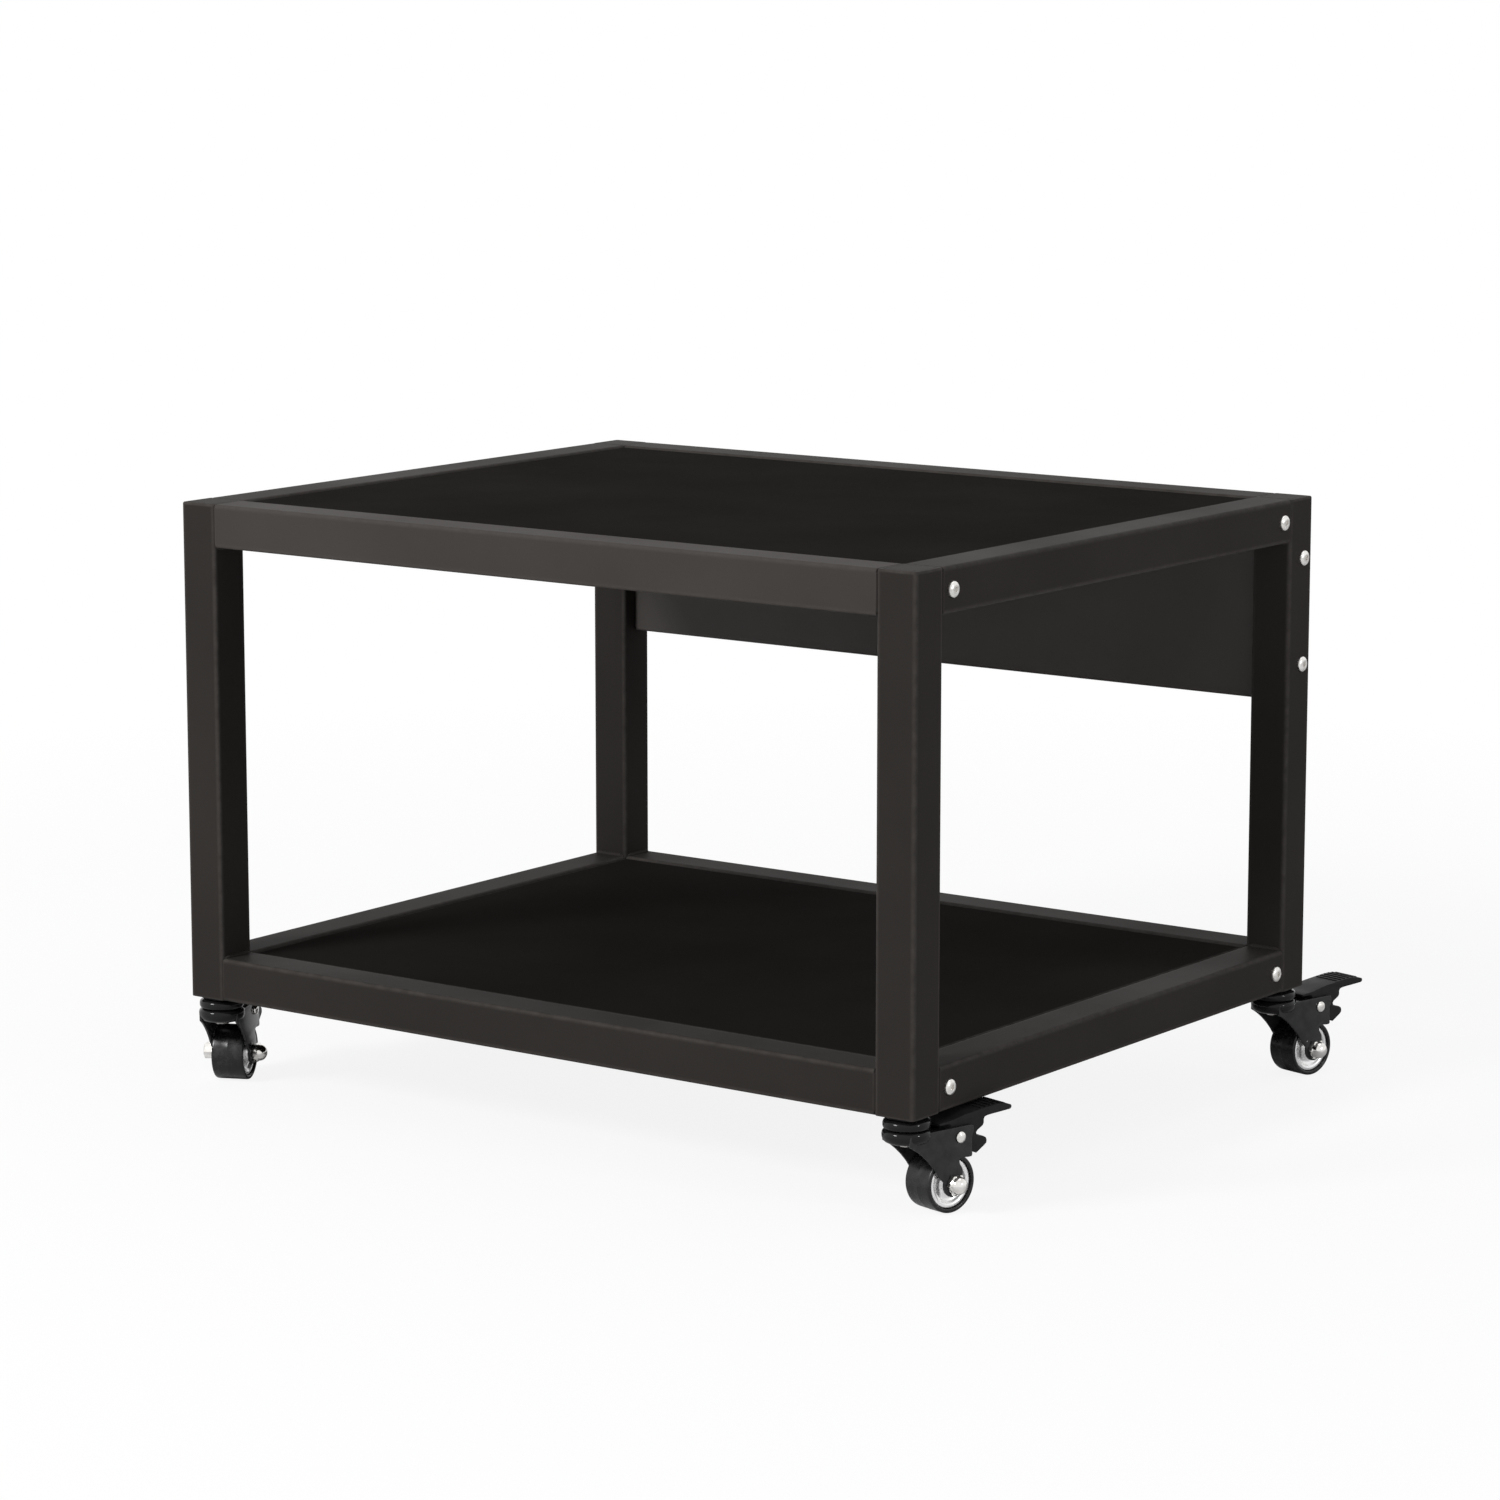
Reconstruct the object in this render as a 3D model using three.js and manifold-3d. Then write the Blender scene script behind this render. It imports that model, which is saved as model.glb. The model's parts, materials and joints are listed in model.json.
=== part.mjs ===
import * as THREE from 'three';
import { mergeVertices } from 'three/addons/utils/BufferGeometryUtils.js';
import Module from 'manifold-3d';

// A low two-deck rack for audio equipment: welded square steel tube, two folded sheet decks,
// a folded back panel between the rear posts, and four swivel casters with foot brakes.
// Millimetres, +Z up, -Y is the front, the floor is z = 0.

// Frame sizes
const rackWidth = 550;
const rackDepth = 440;
const frameHeight = 313;
const casterHeight = 60;
const tubeSize = 27;
const tubeWall = 1.5;
const tubeCorner = 2.2;
const postCapThickness = 2;

// Deck sizes
const deckSheet = 1.5;
const deckDrop = 1;
const deckSkirt = 20;
const deckScrewInset = 36;

// Back panel sizes
const panelSheet = 1.2;
const panelHeight = 102;
const panelReturn = 11;
const panelSetback = 10.5;
const panelScrewDrop = 11;
const panelScrewRise = 24;

// Machine screws and the nuts welded behind the sheet
const screwRadius = 2.5;
const screwHeadRadius = 4.9;
const screwHeadHeight = 2.7;
const screwHeadRim = 1;
const recessRadius = 1.5;
const recessDepth = 1.5;
const screwHoleClearance = 0.3;
const weldNutRadius = 4.2;
const weldNutHeight = 4;

// Foot inserts in the post bottoms
const insertFlange = 1.6;
const insertDepth = 22;
const insertClearance = 0.2;
const insertFlangeInset = 0.3;

// Casters: heights are above the floor, offsets run along the trail from the swivel axis
const wheelRadius = 17.5;
const wheelWidth = 20;
const trailOffset = 25;
const runningGap = 0.3;
const forkTop = 52;
const headRadius = 14.5;
const headHeight = 8;
const headEdge = 2;
const forkSheet = 1.8;
const cheekGap = 21.6;
const cheekTop = 50.5;
const cheekTail = 10.5;
const webLength = 20;
const axleBossRadius = 7.8;
const axleRadius = 3;
const stemRadius = 4;
const stemAbove = 20;
const stemRivetRadius = 5.6;
const stemRivetHeight = 2.2;
const raceRadius = 14;
const raceEdge = 1.8;
const boreClearance = 0.3;

// Wheel
const hubRadius = 14.6;
const hubBossRadius = 6;
const hubDishRadius = 11;
const hubDishDepth = 2.2;
const hubRimInset = 0.7;
const hubEdge = 0.8;
const tyreEdge = 2.4;

// Axle bolt and its domed nut
const boltHeadRadius = 5.5;
const boltHeadHeight = 6.5;
const nutRadius = 6.4;
const nutLength = 8.5;

// Brake: the pedal turns on a pin through both cheeks
const pinOffset = 29.5;
const pinHeight = 44.5;
const pinRadius = 2;
const pinHeadRadius = 3.7;
const pinHeadHeight = 1.8;
const pedalReach = 70;
const pedalTop = 58.6;
const pedalHubRadius = 5;
const pedalSideGap = 0.5;

// Shapes drawn as shares of the sizes they follow
const headCrownShare = 0.62;
const rivetCrownShare = 0.7;
const domeShare = 0.72;
const cheekFrontShare = 0.55;
// Shares of the wheel radius, back from the axle and up from the floor
const cheekFaceShares = [[-1.57, 2.36], [-1.07, 1.91], [-0.65, 1.35]];
const cheekHeelShares = [[0.39, 1.45], [0.23, 1.78], [0.8, 1.82]];
// Shares of a half turn between which the outline is the round boss at the axle
const bossTurnShares = [0.92, 2.14];
// Shares of the pedal's reach behind the pin and of its rise above the pin
const pedalTopShares = [
  [-0.346, 0.629], [-0.296, 0.775], [0, 0.887], [0.16, 0.96], [0.333, 1], [0.481, 0.987], [0.605, 0.901],
  [0.753, 0.801], [0.975, 0.768], [1, 0.669],
];
const pedalUnderShares = [
  [0.97, 0.576], [0.551, 0.583], [0.491, 0.497], [0.491, 0.298], [0.402, 0.126], [0.346, -0.02],
  [0.402, -0.152], [0.504, -0.212], [0.548, -0.377], [0.511, -0.543], [0.348, -0.808], [0.264, -0.702],
  [0.178, -0.623],
];
const pedalHeelShares = [[-0.111, 0.53], [-0.346, 0.53]];

// One overrun serves every cut
const cutOverrun = 2;

// Facets round each kind of turned shape
const cornerSteps = 2;
const holeSides = 10;
const screwSides = 10;
const headSides = 20;
const hubSides = 20;
const tyreSides = 26;
const edgeSteps = 3;
const bossSteps = 8;
const hexSides = 6;

// Where each caster trails at rest, in degrees from +X
const casterPlaces = [
  { name: 'front_left', side: -1, end: -1, trailDegrees: 115 },
  { name: 'front_right', side: 1, end: -1, trailDegrees: 75 },
  { name: 'rear_left', side: -1, end: 1, trailDegrees: 100 },
  { name: 'rear_right', side: 1, end: 1, trailDegrees: 76 },
];

const halfWidth = rackWidth / 2;
const halfDepth = rackDepth / 2;
const halfTube = tubeSize / 2;
const frameBottom = casterHeight;
const frameTop = casterHeight + frameHeight;
const spanWidth = rackWidth - 2 * tubeSize;
const spanDepth = rackDepth - 2 * tubeSize;
const panelTop = frameTop - tubeSize;
const panelBottom = panelTop - panelHeight;
const panelFront = halfDepth - tubeSize + panelSetback;
const levels = [
  { name: 'lower', railBottom: frameBottom },
  { name: 'upper', railBottom: frameTop - tubeSize },
];
const sides = [
  { name: 'left', sign: -1 },
  { name: 'right', sign: 1 },
];
const ends = [
  { name: 'front', sign: -1 },
  { name: 'rear', sign: 1 },
];

const wasm = await Module();
wasm.setup();

const rack = new THREE.Group();

// Finishes
const blackSteel = new THREE.MeshStandardMaterial({ color: 0x211e1c, roughness: 0.55, metalness: 0.2 });
const blackCaster = new THREE.MeshStandardMaterial({ color: 0x141313, roughness: 0.32, metalness: 0.2 });
const blackPlastic = new THREE.MeshStandardMaterial({ color: 0x161616, roughness: 0.5, metalness: 0 });
const blackTyre = new THREE.MeshStandardMaterial({ color: 0x0e0e0f, roughness: 0.25, metalness: 0 });
const nickel = new THREE.MeshStandardMaterial({ color: 0xd8d8d6, roughness: 0.22, metalness: 1 });
const silverHub = new THREE.MeshStandardMaterial({ color: 0xdedede, roughness: 0.3, metalness: 0.6 });

function place(name, geometry, material, parent = rack) {
  const mesh = new THREE.Mesh(geometry, material);
  mesh.name = name;
  parent.add(mesh);
  return mesh;
}

// Closed geometry to a solid and back, for cuts and joins
function asSolid(geometry) {
  const bare = geometry.clone();
  bare.deleteAttribute('normal');
  bare.deleteAttribute('uv');
  const welded = mergeVertices(bare);
  const mesh = new wasm.Mesh({
    numProp: 3,
    vertProperties: new Float32Array(welded.attributes.position.array),
    triVerts: new Uint32Array(welded.index.array),
  });
  return new wasm.Manifold(mesh);
}

function asGeometry(solid) {
  const mesh = solid.getMesh();
  const geometry = new THREE.BufferGeometry();
  geometry.setAttribute('position', new THREE.BufferAttribute(mesh.vertProperties, 3));
  geometry.setIndex(new THREE.BufferAttribute(mesh.triVerts, 1));
  geometry.computeVertexNormals();
  return geometry;
}

function build(bodies, cuts) {
  let solid = asSolid(bodies[0]);
  for (const body of bodies.slice(1)) solid = solid.add(asSolid(body));
  for (const tool of cuts) solid = solid.subtract(asSolid(tool));
  return asGeometry(solid);
}

// A square bar with rounded edges standing on z = 0
function squareBar(size, corner, length) {
  const half = size / 2;
  const inner = half - corner;
  const section = new THREE.Shape();
  section.moveTo(-inner, -half);
  section.absarc(inner, -inner, corner, -Math.PI / 2, 0, false);
  section.absarc(inner, inner, corner, 0, Math.PI / 2, false);
  section.absarc(-inner, inner, corner, Math.PI / 2, Math.PI, false);
  section.absarc(-inner, -inner, corner, Math.PI, 1.5 * Math.PI, false);
  return new THREE.ExtrudeGeometry(section, {
    depth: length, bevelEnabled: false, curveSegments: cornerSteps,
  });
}

function block(width, depth, height) {
  return new THREE.BoxGeometry(width, depth, height);
}

// A cylinder along X, centred on the origin
function rodAlongX(radius, length, count = holeSides) {
  return new THREE.CylinderGeometry(radius, radius, length, count).rotateZ(Math.PI / 2);
}

// A cylinder along Y, centred on the origin
function rodAlongY(radius, length, count = holeSides) {
  return new THREE.CylinderGeometry(radius, radius, length, count);
}

// A turned shape about Z from points of radius and height
function turned(points, count) {
  const profile = points.map(([radius, height]) => new THREE.Vector2(radius, height));
  return new THREE.LatheGeometry(profile, count).rotateX(Math.PI / 2);
}

// Centres of the screws that pin the decks to the side rails
function deckScrewPlaces(railBottom) {
  const places = [];
  for (const side of sides) {
    for (const end of ends) {
      const y = end.sign * (halfDepth - deckScrewInset);
      places.push({ side, end, x: side.sign * halfWidth, y, z: railBottom + halfTube });
    }
  }
  return places;
}

// Centres of the screws that hold the back panel to the rear posts
function panelScrewPlaces() {
  const lower = { name: 'lower', z: panelBottom + panelScrewRise };
  const upper = { name: 'upper', z: panelTop - panelScrewDrop };
  const y = panelFront + panelReturn / 2;
  const places = [];
  for (const side of sides) {
    for (const level of [lower, upper]) {
      places.push({ side, level, x: side.sign * halfWidth, y, z: level.z });
    }
  }
  return places;
}

// Posts: square tube with a plate welded into the top, open below for the foot insert
function post(side, end) {
  const outer = squareBar(tubeSize, tubeCorner, frameHeight);
  const boreLength = frameHeight - postCapThickness + cutOverrun;
  const bore = squareBar(tubeSize - 2 * tubeWall, tubeCorner - tubeWall, boreLength);
  bore.translate(0, 0, -cutOverrun);
  const x = side.sign * (halfWidth - halfTube);
  const y = end.sign * (halfDepth - halfTube);
  const cuts = [bore];
  if (end.sign > 0) {
    for (const spot of panelScrewPlaces().filter((candidate) => candidate.side === side)) {
      const hole = rodAlongX(screwRadius + screwHoleClearance, tubeSize + 2 * cutOverrun);
      cuts.push(hole.translate(0, spot.y - y, spot.z - frameBottom));
    }
  }
  const mesh = place(`${end.name}_${side.name}_post`, build([outer], cuts), blackSteel);
  mesh.position.set(x, y, frameBottom);
}

// Side rails run front to back between the posts and carry the deck screws
function sideRail(side, level) {
  const outer = squareBar(tubeSize, tubeCorner, spanDepth);
  const bore = squareBar(tubeSize - 2 * tubeWall, tubeCorner - tubeWall, spanDepth + 2 * cutOverrun);
  bore.translate(0, 0, -cutOverrun);
  const cuts = [bore];
  for (const spot of deckScrewPlaces(level.railBottom).filter((candidate) => candidate.side === side)) {
    const hole = rodAlongX(screwRadius + screwHoleClearance, tubeSize + 2 * cutOverrun);
    cuts.push(hole.translate(0, 0, spanDepth / 2 - spot.y));
  }
  const tube = build([outer], cuts);
  const mesh = place(`${level.name}_${side.name}_rail`, tube, blackSteel);
  mesh.rotation.x = Math.PI / 2;
  mesh.position.set(side.sign * (halfWidth - halfTube), spanDepth / 2, level.railBottom + halfTube);
}

// Front and rear rails run across between the posts, one pair at each deck
function crossRail(end, level) {
  const outer = squareBar(tubeSize, tubeCorner, spanWidth);
  const bore = squareBar(tubeSize - 2 * tubeWall, tubeCorner - tubeWall, spanWidth + 2 * cutOverrun);
  bore.translate(0, 0, -cutOverrun);
  const mesh = place(`${level.name}_${end.name}_rail`, build([outer], [bore]), blackSteel);
  mesh.rotation.y = Math.PI / 2;
  mesh.position.set(-spanWidth / 2, end.sign * (halfDepth - halfTube), level.railBottom + halfTube);
}

// Decks: a folded sheet tray with a skirt all round and nuts welded behind the side skirts
function deck(level) {
  const top = level.railBottom + tubeSize - deckDrop;
  const outer = block(spanWidth, spanDepth, deckSkirt).translate(0, 0, top - deckSkirt / 2);
  const hollowHeight = deckSkirt - deckSheet + cutOverrun;
  const hollow = block(spanWidth - 2 * deckSheet, spanDepth - 2 * deckSheet, hollowHeight);
  hollow.translate(0, 0, top - deckSheet - hollowHeight / 2);
  const tray = build([outer], [hollow]);
  const spots = deckScrewPlaces(level.railBottom);
  const nuts = spots.map((spot) => weldNut(spot, deckSheet));
  const holes = spots.map((spot) => weldNutHole(spot, deckSheet));
  place(`${level.name}_deck`, build([tray, ...nuts], holes), blackSteel);
}

// A nut welded to the inner face of a folded sheet edge, rooted half way into the sheet
function weldNut(spot, sheet) {
  const length = weldNutHeight + sheet / 2;
  const centreX = spanWidth / 2 - sheet / 2 - length / 2;
  return rodAlongX(weldNutRadius, length).translate(spot.side.sign * centreX, spot.y, spot.z);
}

function weldNutHole(spot, sheet) {
  const length = weldNutHeight + sheet + 2 * cutOverrun;
  const hole = rodAlongX(screwRadius + screwHoleClearance, length);
  return hole.translate(spot.side.sign * (spanWidth / 2 + cutOverrun - length / 2), spot.y, spot.z);
}

// Back panel: a folded sheet between the rear posts, its returns turned to the back
function backPanel() {
  const centreZ = (panelBottom + panelTop) / 2;
  const outer = block(spanWidth, panelReturn, panelHeight);
  outer.translate(0, panelFront + panelReturn / 2, centreZ);
  const hollowDepth = panelReturn - panelSheet + cutOverrun;
  const hollow = block(spanWidth - 2 * panelSheet, hollowDepth, panelHeight - 2 * panelSheet);
  hollow.translate(0, panelFront + panelSheet + hollowDepth / 2, centreZ);
  const tray = build([outer], [hollow]);
  const spots = panelScrewPlaces();
  const nuts = spots.map((spot) => weldNut(spot, panelSheet));
  const holes = spots.map((spot) => weldNutHole(spot, panelSheet));
  place('back_panel', build([tray, ...nuts], holes), blackSteel);
}

// Pan-head screws lie along X with the head against the outer face of the frame
function screw(name, spot, sheet) {
  const shankLength = tubeSize + sheet + weldNutHeight;
  const points = [
    [0, -shankLength],
    [screwRadius, -shankLength],
    [screwRadius, 0],
    [screwHeadRadius, 0],
    [screwHeadRadius, screwHeadRim],
    [screwHeadRadius * headCrownShare, screwHeadHeight],
    [recessRadius, screwHeadHeight],
    [0, screwHeadHeight - recessDepth],
  ];
  const mesh = place(name, turned(points, screwSides), nickel);
  mesh.rotation.y = spot.side.sign * (Math.PI / 2);
  mesh.position.set(spot.x, spot.y, spot.z);
}

// Foot inserts: a plastic plug in each post with a flange under the tube
function footInsert(side, end) {
  const inner = tubeSize - 2 * tubeWall - 2 * insertClearance;
  const flangeSize = tubeSize - 2 * insertFlangeInset;
  const flange = squareBar(flangeSize, tubeCorner, insertFlange).translate(0, 0, -insertFlange);
  const plug = squareBar(inner, tubeCorner - tubeWall, insertDepth + insertFlange / 2);
  plug.translate(0, 0, -insertFlange / 2);
  const bore = rodAlongY(stemRadius + boreClearance, insertDepth + insertFlange + 2 * cutOverrun);
  bore.rotateX(Math.PI / 2).translate(0, 0, (insertDepth - insertFlange) / 2);
  const mesh = place(`${end.name}_${side.name}_foot_insert`, build([flange, plug], [bore]), blackPlastic);
  mesh.position.set(side.sign * (halfWidth - halfTube), end.sign * (halfDepth - halfTube), frameBottom);
}

for (const side of sides) {
  for (const end of ends) {
    post(side, end);
    footInsert(side, end);
  }
}
for (const level of levels) {
  for (const side of sides) sideRail(side, level);
  for (const end of ends) crossRail(end, level);
  deck(level);
  for (const spot of deckScrewPlaces(level.railBottom)) {
    screw(`${level.name}_${spot.end.name}_${spot.side.name}_deck_screw`, spot, deckSheet);
  }
}
backPanel();
for (const spot of panelScrewPlaces()) {
  screw(`${spot.level.name}_${spot.side.name}_panel_screw`, spot, panelSheet);
}

// Casters are built with the swivel axis at x = 0, y = 0 and the wheel trailing towards +X

// Turns an outline drawn in x and z into a plate of a given thickness centred on a given y
function uprightPlate(outline, thickness, centreY) {
  const plate = new THREE.ExtrudeGeometry(outline, {
    depth: thickness, bevelEnabled: false, curveSegments: bossSteps,
  });
  return plate.rotateX(Math.PI / 2).translate(0, centreY + thickness / 2, 0);
}

// The swivel stem: pin into the insert, fixed race ring over the head and a riveted end below it
function swivelStem(caster, group) {
  const headBottom = forkTop - headHeight;
  const raceBottom = forkTop + runningGap;
  const raceTop = frameBottom - insertFlange - runningGap;
  const points = [
    [0, headBottom - runningGap - stemRivetHeight],
    [stemRivetRadius * rivetCrownShare, headBottom - runningGap - stemRivetHeight],
    [stemRivetRadius, headBottom - runningGap - stemRivetHeight / 2],
    [stemRivetRadius, headBottom - runningGap],
    [stemRadius, headBottom - runningGap],
    [stemRadius, raceBottom],
    [raceRadius - raceEdge, raceBottom],
    [raceRadius, raceBottom + raceEdge],
    [raceRadius, raceTop - raceEdge],
    [raceRadius - raceEdge, raceTop],
    [stemRadius, raceTop],
    [stemRadius, frameBottom + stemAbove],
    [0, frameBottom + stemAbove],
  ];
  place(`${caster.name}_swivel_stem`, turned(points, headSides), blackCaster, group);
}

// The outline of a fork cheek, from the head back to the brake pin and down to the axle
function cheekOutline() {
  const front = -headRadius * cheekFrontShare;
  const back = pinOffset + cheekTail;
  const [bossStart, bossEnd] = bossTurnShares.map((share) => share * Math.PI);
  const outline = new THREE.Shape();
  outline.moveTo(front, cheekTop);
  outline.lineTo(front, forkTop - headHeight);
  for (const [along, up] of cheekFaceShares) {
    outline.lineTo(trailOffset + wheelRadius * along, wheelRadius * up);
  }
  outline.absarc(trailOffset, wheelRadius, axleBossRadius, bossStart, bossEnd, false);
  for (const [along, up] of cheekHeelShares) {
    outline.lineTo(trailOffset + wheelRadius * along, wheelRadius * up);
  }
  outline.lineTo(back, pinHeight - cheekTail);
  outline.lineTo(back, cheekTop - headEdge);
  outline.lineTo(back - headEdge, cheekTop);
  return outline;
}

// The fork: swivel head, top web and two cheeks in one pressing
function fork(caster, group) {
  const headBottom = forkTop - headHeight;
  const bore = stemRadius + boreClearance;
  const head = turned([
    [bore, headBottom],
    [headRadius - headEdge, headBottom],
    [headRadius, headBottom + headEdge],
    [headRadius, forkTop - headEdge],
    [headRadius - headEdge, forkTop],
    [bore, forkTop],
    [bore, headBottom],
  ], headSides);
  const cheekCentre = (cheekGap + forkSheet) / 2;
  const cheeks = [-1, 1].map((sign) => uprightPlate(cheekOutline(), forkSheet, sign * cheekCentre));
  const webStart = headRadius / 2;
  const web = block(webLength - webStart, cheekGap + forkSheet, forkSheet);
  web.translate((webLength + webStart) / 2, 0, cheekTop - forkSheet / 2);
  const across = cheekGap + 2 * forkSheet + 2 * cutOverrun;
  const axleHole = rodAlongY(axleRadius + boreClearance, across).translate(trailOffset, 0, wheelRadius);
  const pinHole = rodAlongY(pinRadius + boreClearance, across).translate(pinOffset, 0, pinHeight);
  place(`${caster.name}_fork`, build([head, ...cheeks, web], [axleHole, pinHole]), blackCaster, group);
}

// A turned ring that is alike on both sides, from one side's points, inside to outside
function mirroredRing(side, count) {
  const under = side.map(([radius, height]) => [radius, -height]);
  return turned([...under, ...side.toReversed(), under[0]], count);
}

// A dished silver hub on the axle
function wheelHub(caster, wheel) {
  const boss = cheekGap / 2 - runningGap;
  const rim = wheelWidth / 2 - hubRimInset;
  const dish = rim - hubDishDepth;
  const side = [
    [axleRadius + boreClearance, boss],
    [hubBossRadius, boss],
    [hubBossRadius, dish],
    [hubDishRadius, dish],
    [hubDishRadius + hubEdge, rim],
    [hubRadius - hubEdge, rim],
    [hubRadius, rim - hubEdge],
  ];
  const mesh = place(`${caster.name}_wheel_hub`, mirroredRing(side, hubSides), silverHub, wheel);
  mesh.rotation.x = Math.PI / 2;
}

// The tyre moulded round the hub, with round shoulders
function tyre(caster, wheel) {
  const half = wheelWidth / 2;
  const side = [[hubRadius + runningGap, half]];
  for (let step = 0; step <= edgeSteps; step += 1) {
    const turn = (step / edgeSteps) * (Math.PI / 2);
    const radius = wheelRadius - tyreEdge + tyreEdge * Math.sin(turn);
    side.push([radius, half - tyreEdge + tyreEdge * Math.cos(turn)]);
  }
  const mesh = place(`${caster.name}_tyre`, mirroredRing(side, tyreSides), blackTyre, wheel);
  mesh.rotation.x = Math.PI / 2;
}

// A hexagonal prism along Z between two heights
function hexagon(radius, bottom, top) {
  const prism = new THREE.CylinderGeometry(radius, radius, top - bottom, hexSides);
  return prism.rotateX(Math.PI / 2).translate(0, 0, (bottom + top) / 2);
}

// The axle bolt: hexagon head on one cheek, domed nut on the other
function axleBolt(caster, group) {
  const seat = cheekGap / 2 + forkSheet + runningGap;
  const nutTop = seat + nutLength;
  const hexTop = seat + nutLength / 2;
  const dome = nutRadius * domeShare;
  const shank = turned([
    [0, -seat - boltHeadHeight / 2],
    [axleRadius, -seat - boltHeadHeight / 2],
    [axleRadius, seat + boltHeadHeight / 2],
    [dome, seat + boltHeadHeight / 2],
    [dome, (hexTop + nutTop) / 2],
    [dome * domeShare, nutTop - nutLength * (1 - domeShare) / 2],
    [0, nutTop],
  ], screwSides);
  const nut = hexagon(nutRadius, seat, hexTop);
  const head = hexagon(boltHeadRadius, -seat - boltHeadHeight, -seat);
  const mesh = place(`${caster.name}_axle_bolt`, build([shank, nut, head], []), nickel, group);
  mesh.rotation.x = Math.PI / 2;
  mesh.position.set(trailOffset, 0, wheelRadius);
}

// The brake pin, riveted over both cheeks
function brakePin(caster, group) {
  const seat = cheekGap / 2 + forkSheet + runningGap;
  const crown = pinHeadRadius * rivetCrownShare;
  const mesh = place(`${caster.name}_brake_pin`, turned([
    [0, -seat - pinHeadHeight],
    [crown, -seat - pinHeadHeight],
    [pinHeadRadius, -seat - pinHeadHeight / 2],
    [pinHeadRadius, -seat],
    [pinRadius, -seat],
    [pinRadius, seat],
    [pinHeadRadius, seat],
    [pinHeadRadius, seat + pinHeadHeight / 2],
    [crown, seat + pinHeadHeight],
    [0, seat + pinHeadHeight],
  ], screwSides), nickel, group);
  mesh.rotation.x = Math.PI / 2;
  mesh.position.set(pinOffset, 0, pinHeight);
}

// The brake pedal: foot plate, release lip and shoe in one moulding, drawn round the pin
function brakePedal(caster, group) {
  const reach = pedalReach - pinOffset;
  const rise = pedalTop - pinHeight;
  const outline = new THREE.Shape();
  const [first, ...others] = [...pedalTopShares, ...pedalUnderShares];
  outline.moveTo(first[0] * reach, first[1] * rise);
  for (const [along, up] of others) outline.lineTo(along * reach, up * rise);
  outline.absarc(0, 0, pedalHubRadius, -Math.PI / 2, -Math.PI, true);
  for (const [along, up] of pedalHeelShares) outline.lineTo(along * reach, up * rise);
  const width = cheekGap - 2 * pedalSideGap;
  const plate = uprightPlate(outline, width, 0);
  const bore = rodAlongY(pinRadius + boreClearance, width + 2 * cutOverrun);
  const mesh = place(`${caster.name}_brake_pedal`, build([plate], [bore]), blackPlastic, group);
  mesh.position.set(pinOffset, 0, pinHeight);
}

for (const caster of casterPlaces) {
  const group = new THREE.Group();
  const x = caster.side * (halfWidth - halfTube);
  const y = caster.end * (halfDepth - halfTube);
  group.position.set(x, y, 0);
  group.rotation.z = THREE.MathUtils.degToRad(caster.trailDegrees);
  rack.add(group);
  swivelStem(caster, group);
  fork(caster, group);
  const wheel = new THREE.Group();
  wheel.position.set(trailOffset, 0, wheelRadius);
  group.add(wheel);
  wheelHub(caster, wheel);
  tyre(caster, wheel);
  axleBolt(caster, group);
  brakePin(caster, group);
  brakePedal(caster, group);
}

// The origin is on the floor at the centre of the whole footprint, pedals included
rack.updateMatrixWorld(true);
const footprint = new THREE.Box3().setFromObject(rack, true);
rack.position.x = -(footprint.min.x + footprint.max.x) / 2;
rack.position.y = -(footprint.min.y + footprint.max.y) / 2;

export default rack;
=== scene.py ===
import json
import math
import bmesh
import bpy
from mathutils import Matrix, Vector


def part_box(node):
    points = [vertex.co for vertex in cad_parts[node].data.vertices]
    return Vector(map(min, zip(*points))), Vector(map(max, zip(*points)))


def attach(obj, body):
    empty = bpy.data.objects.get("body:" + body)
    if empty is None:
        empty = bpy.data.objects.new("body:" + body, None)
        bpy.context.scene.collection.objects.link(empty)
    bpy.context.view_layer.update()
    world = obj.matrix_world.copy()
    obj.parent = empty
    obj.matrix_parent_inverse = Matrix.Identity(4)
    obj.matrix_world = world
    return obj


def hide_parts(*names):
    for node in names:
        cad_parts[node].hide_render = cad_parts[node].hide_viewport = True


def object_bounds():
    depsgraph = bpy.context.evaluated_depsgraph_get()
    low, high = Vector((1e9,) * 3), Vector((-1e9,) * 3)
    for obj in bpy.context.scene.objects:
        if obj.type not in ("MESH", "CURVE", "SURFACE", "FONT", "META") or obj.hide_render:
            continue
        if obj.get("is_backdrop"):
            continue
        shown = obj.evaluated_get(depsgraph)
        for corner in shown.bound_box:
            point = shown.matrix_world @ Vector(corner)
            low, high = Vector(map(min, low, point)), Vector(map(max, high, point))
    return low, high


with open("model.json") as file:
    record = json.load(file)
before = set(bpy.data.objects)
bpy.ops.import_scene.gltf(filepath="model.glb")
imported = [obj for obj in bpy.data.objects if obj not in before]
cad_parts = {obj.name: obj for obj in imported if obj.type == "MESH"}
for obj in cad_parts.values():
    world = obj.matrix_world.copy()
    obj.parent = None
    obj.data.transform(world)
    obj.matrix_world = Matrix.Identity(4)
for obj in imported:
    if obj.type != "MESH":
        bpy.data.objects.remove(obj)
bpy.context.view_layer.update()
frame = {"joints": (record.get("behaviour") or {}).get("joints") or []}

scene = bpy.context.scene
mm = 0.001

# Camera
# A long lens at table height, in front and to the right of the rack.
# It is placed from the middle of the frame, between the four posts.
post_low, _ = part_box("front_left_post")
_, post_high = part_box("rear_right_post")
frame_centre = (post_low + post_high) / 2
camera_offset = Vector((1774.4, -2425.3, 735.8)) * mm
camera_turn = math.radians(36.19)
camera_dip = math.radians(9.845)
sensor_width_mm = 36.0
photo_width_px = 1500
focal_px = 4860.7

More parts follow.
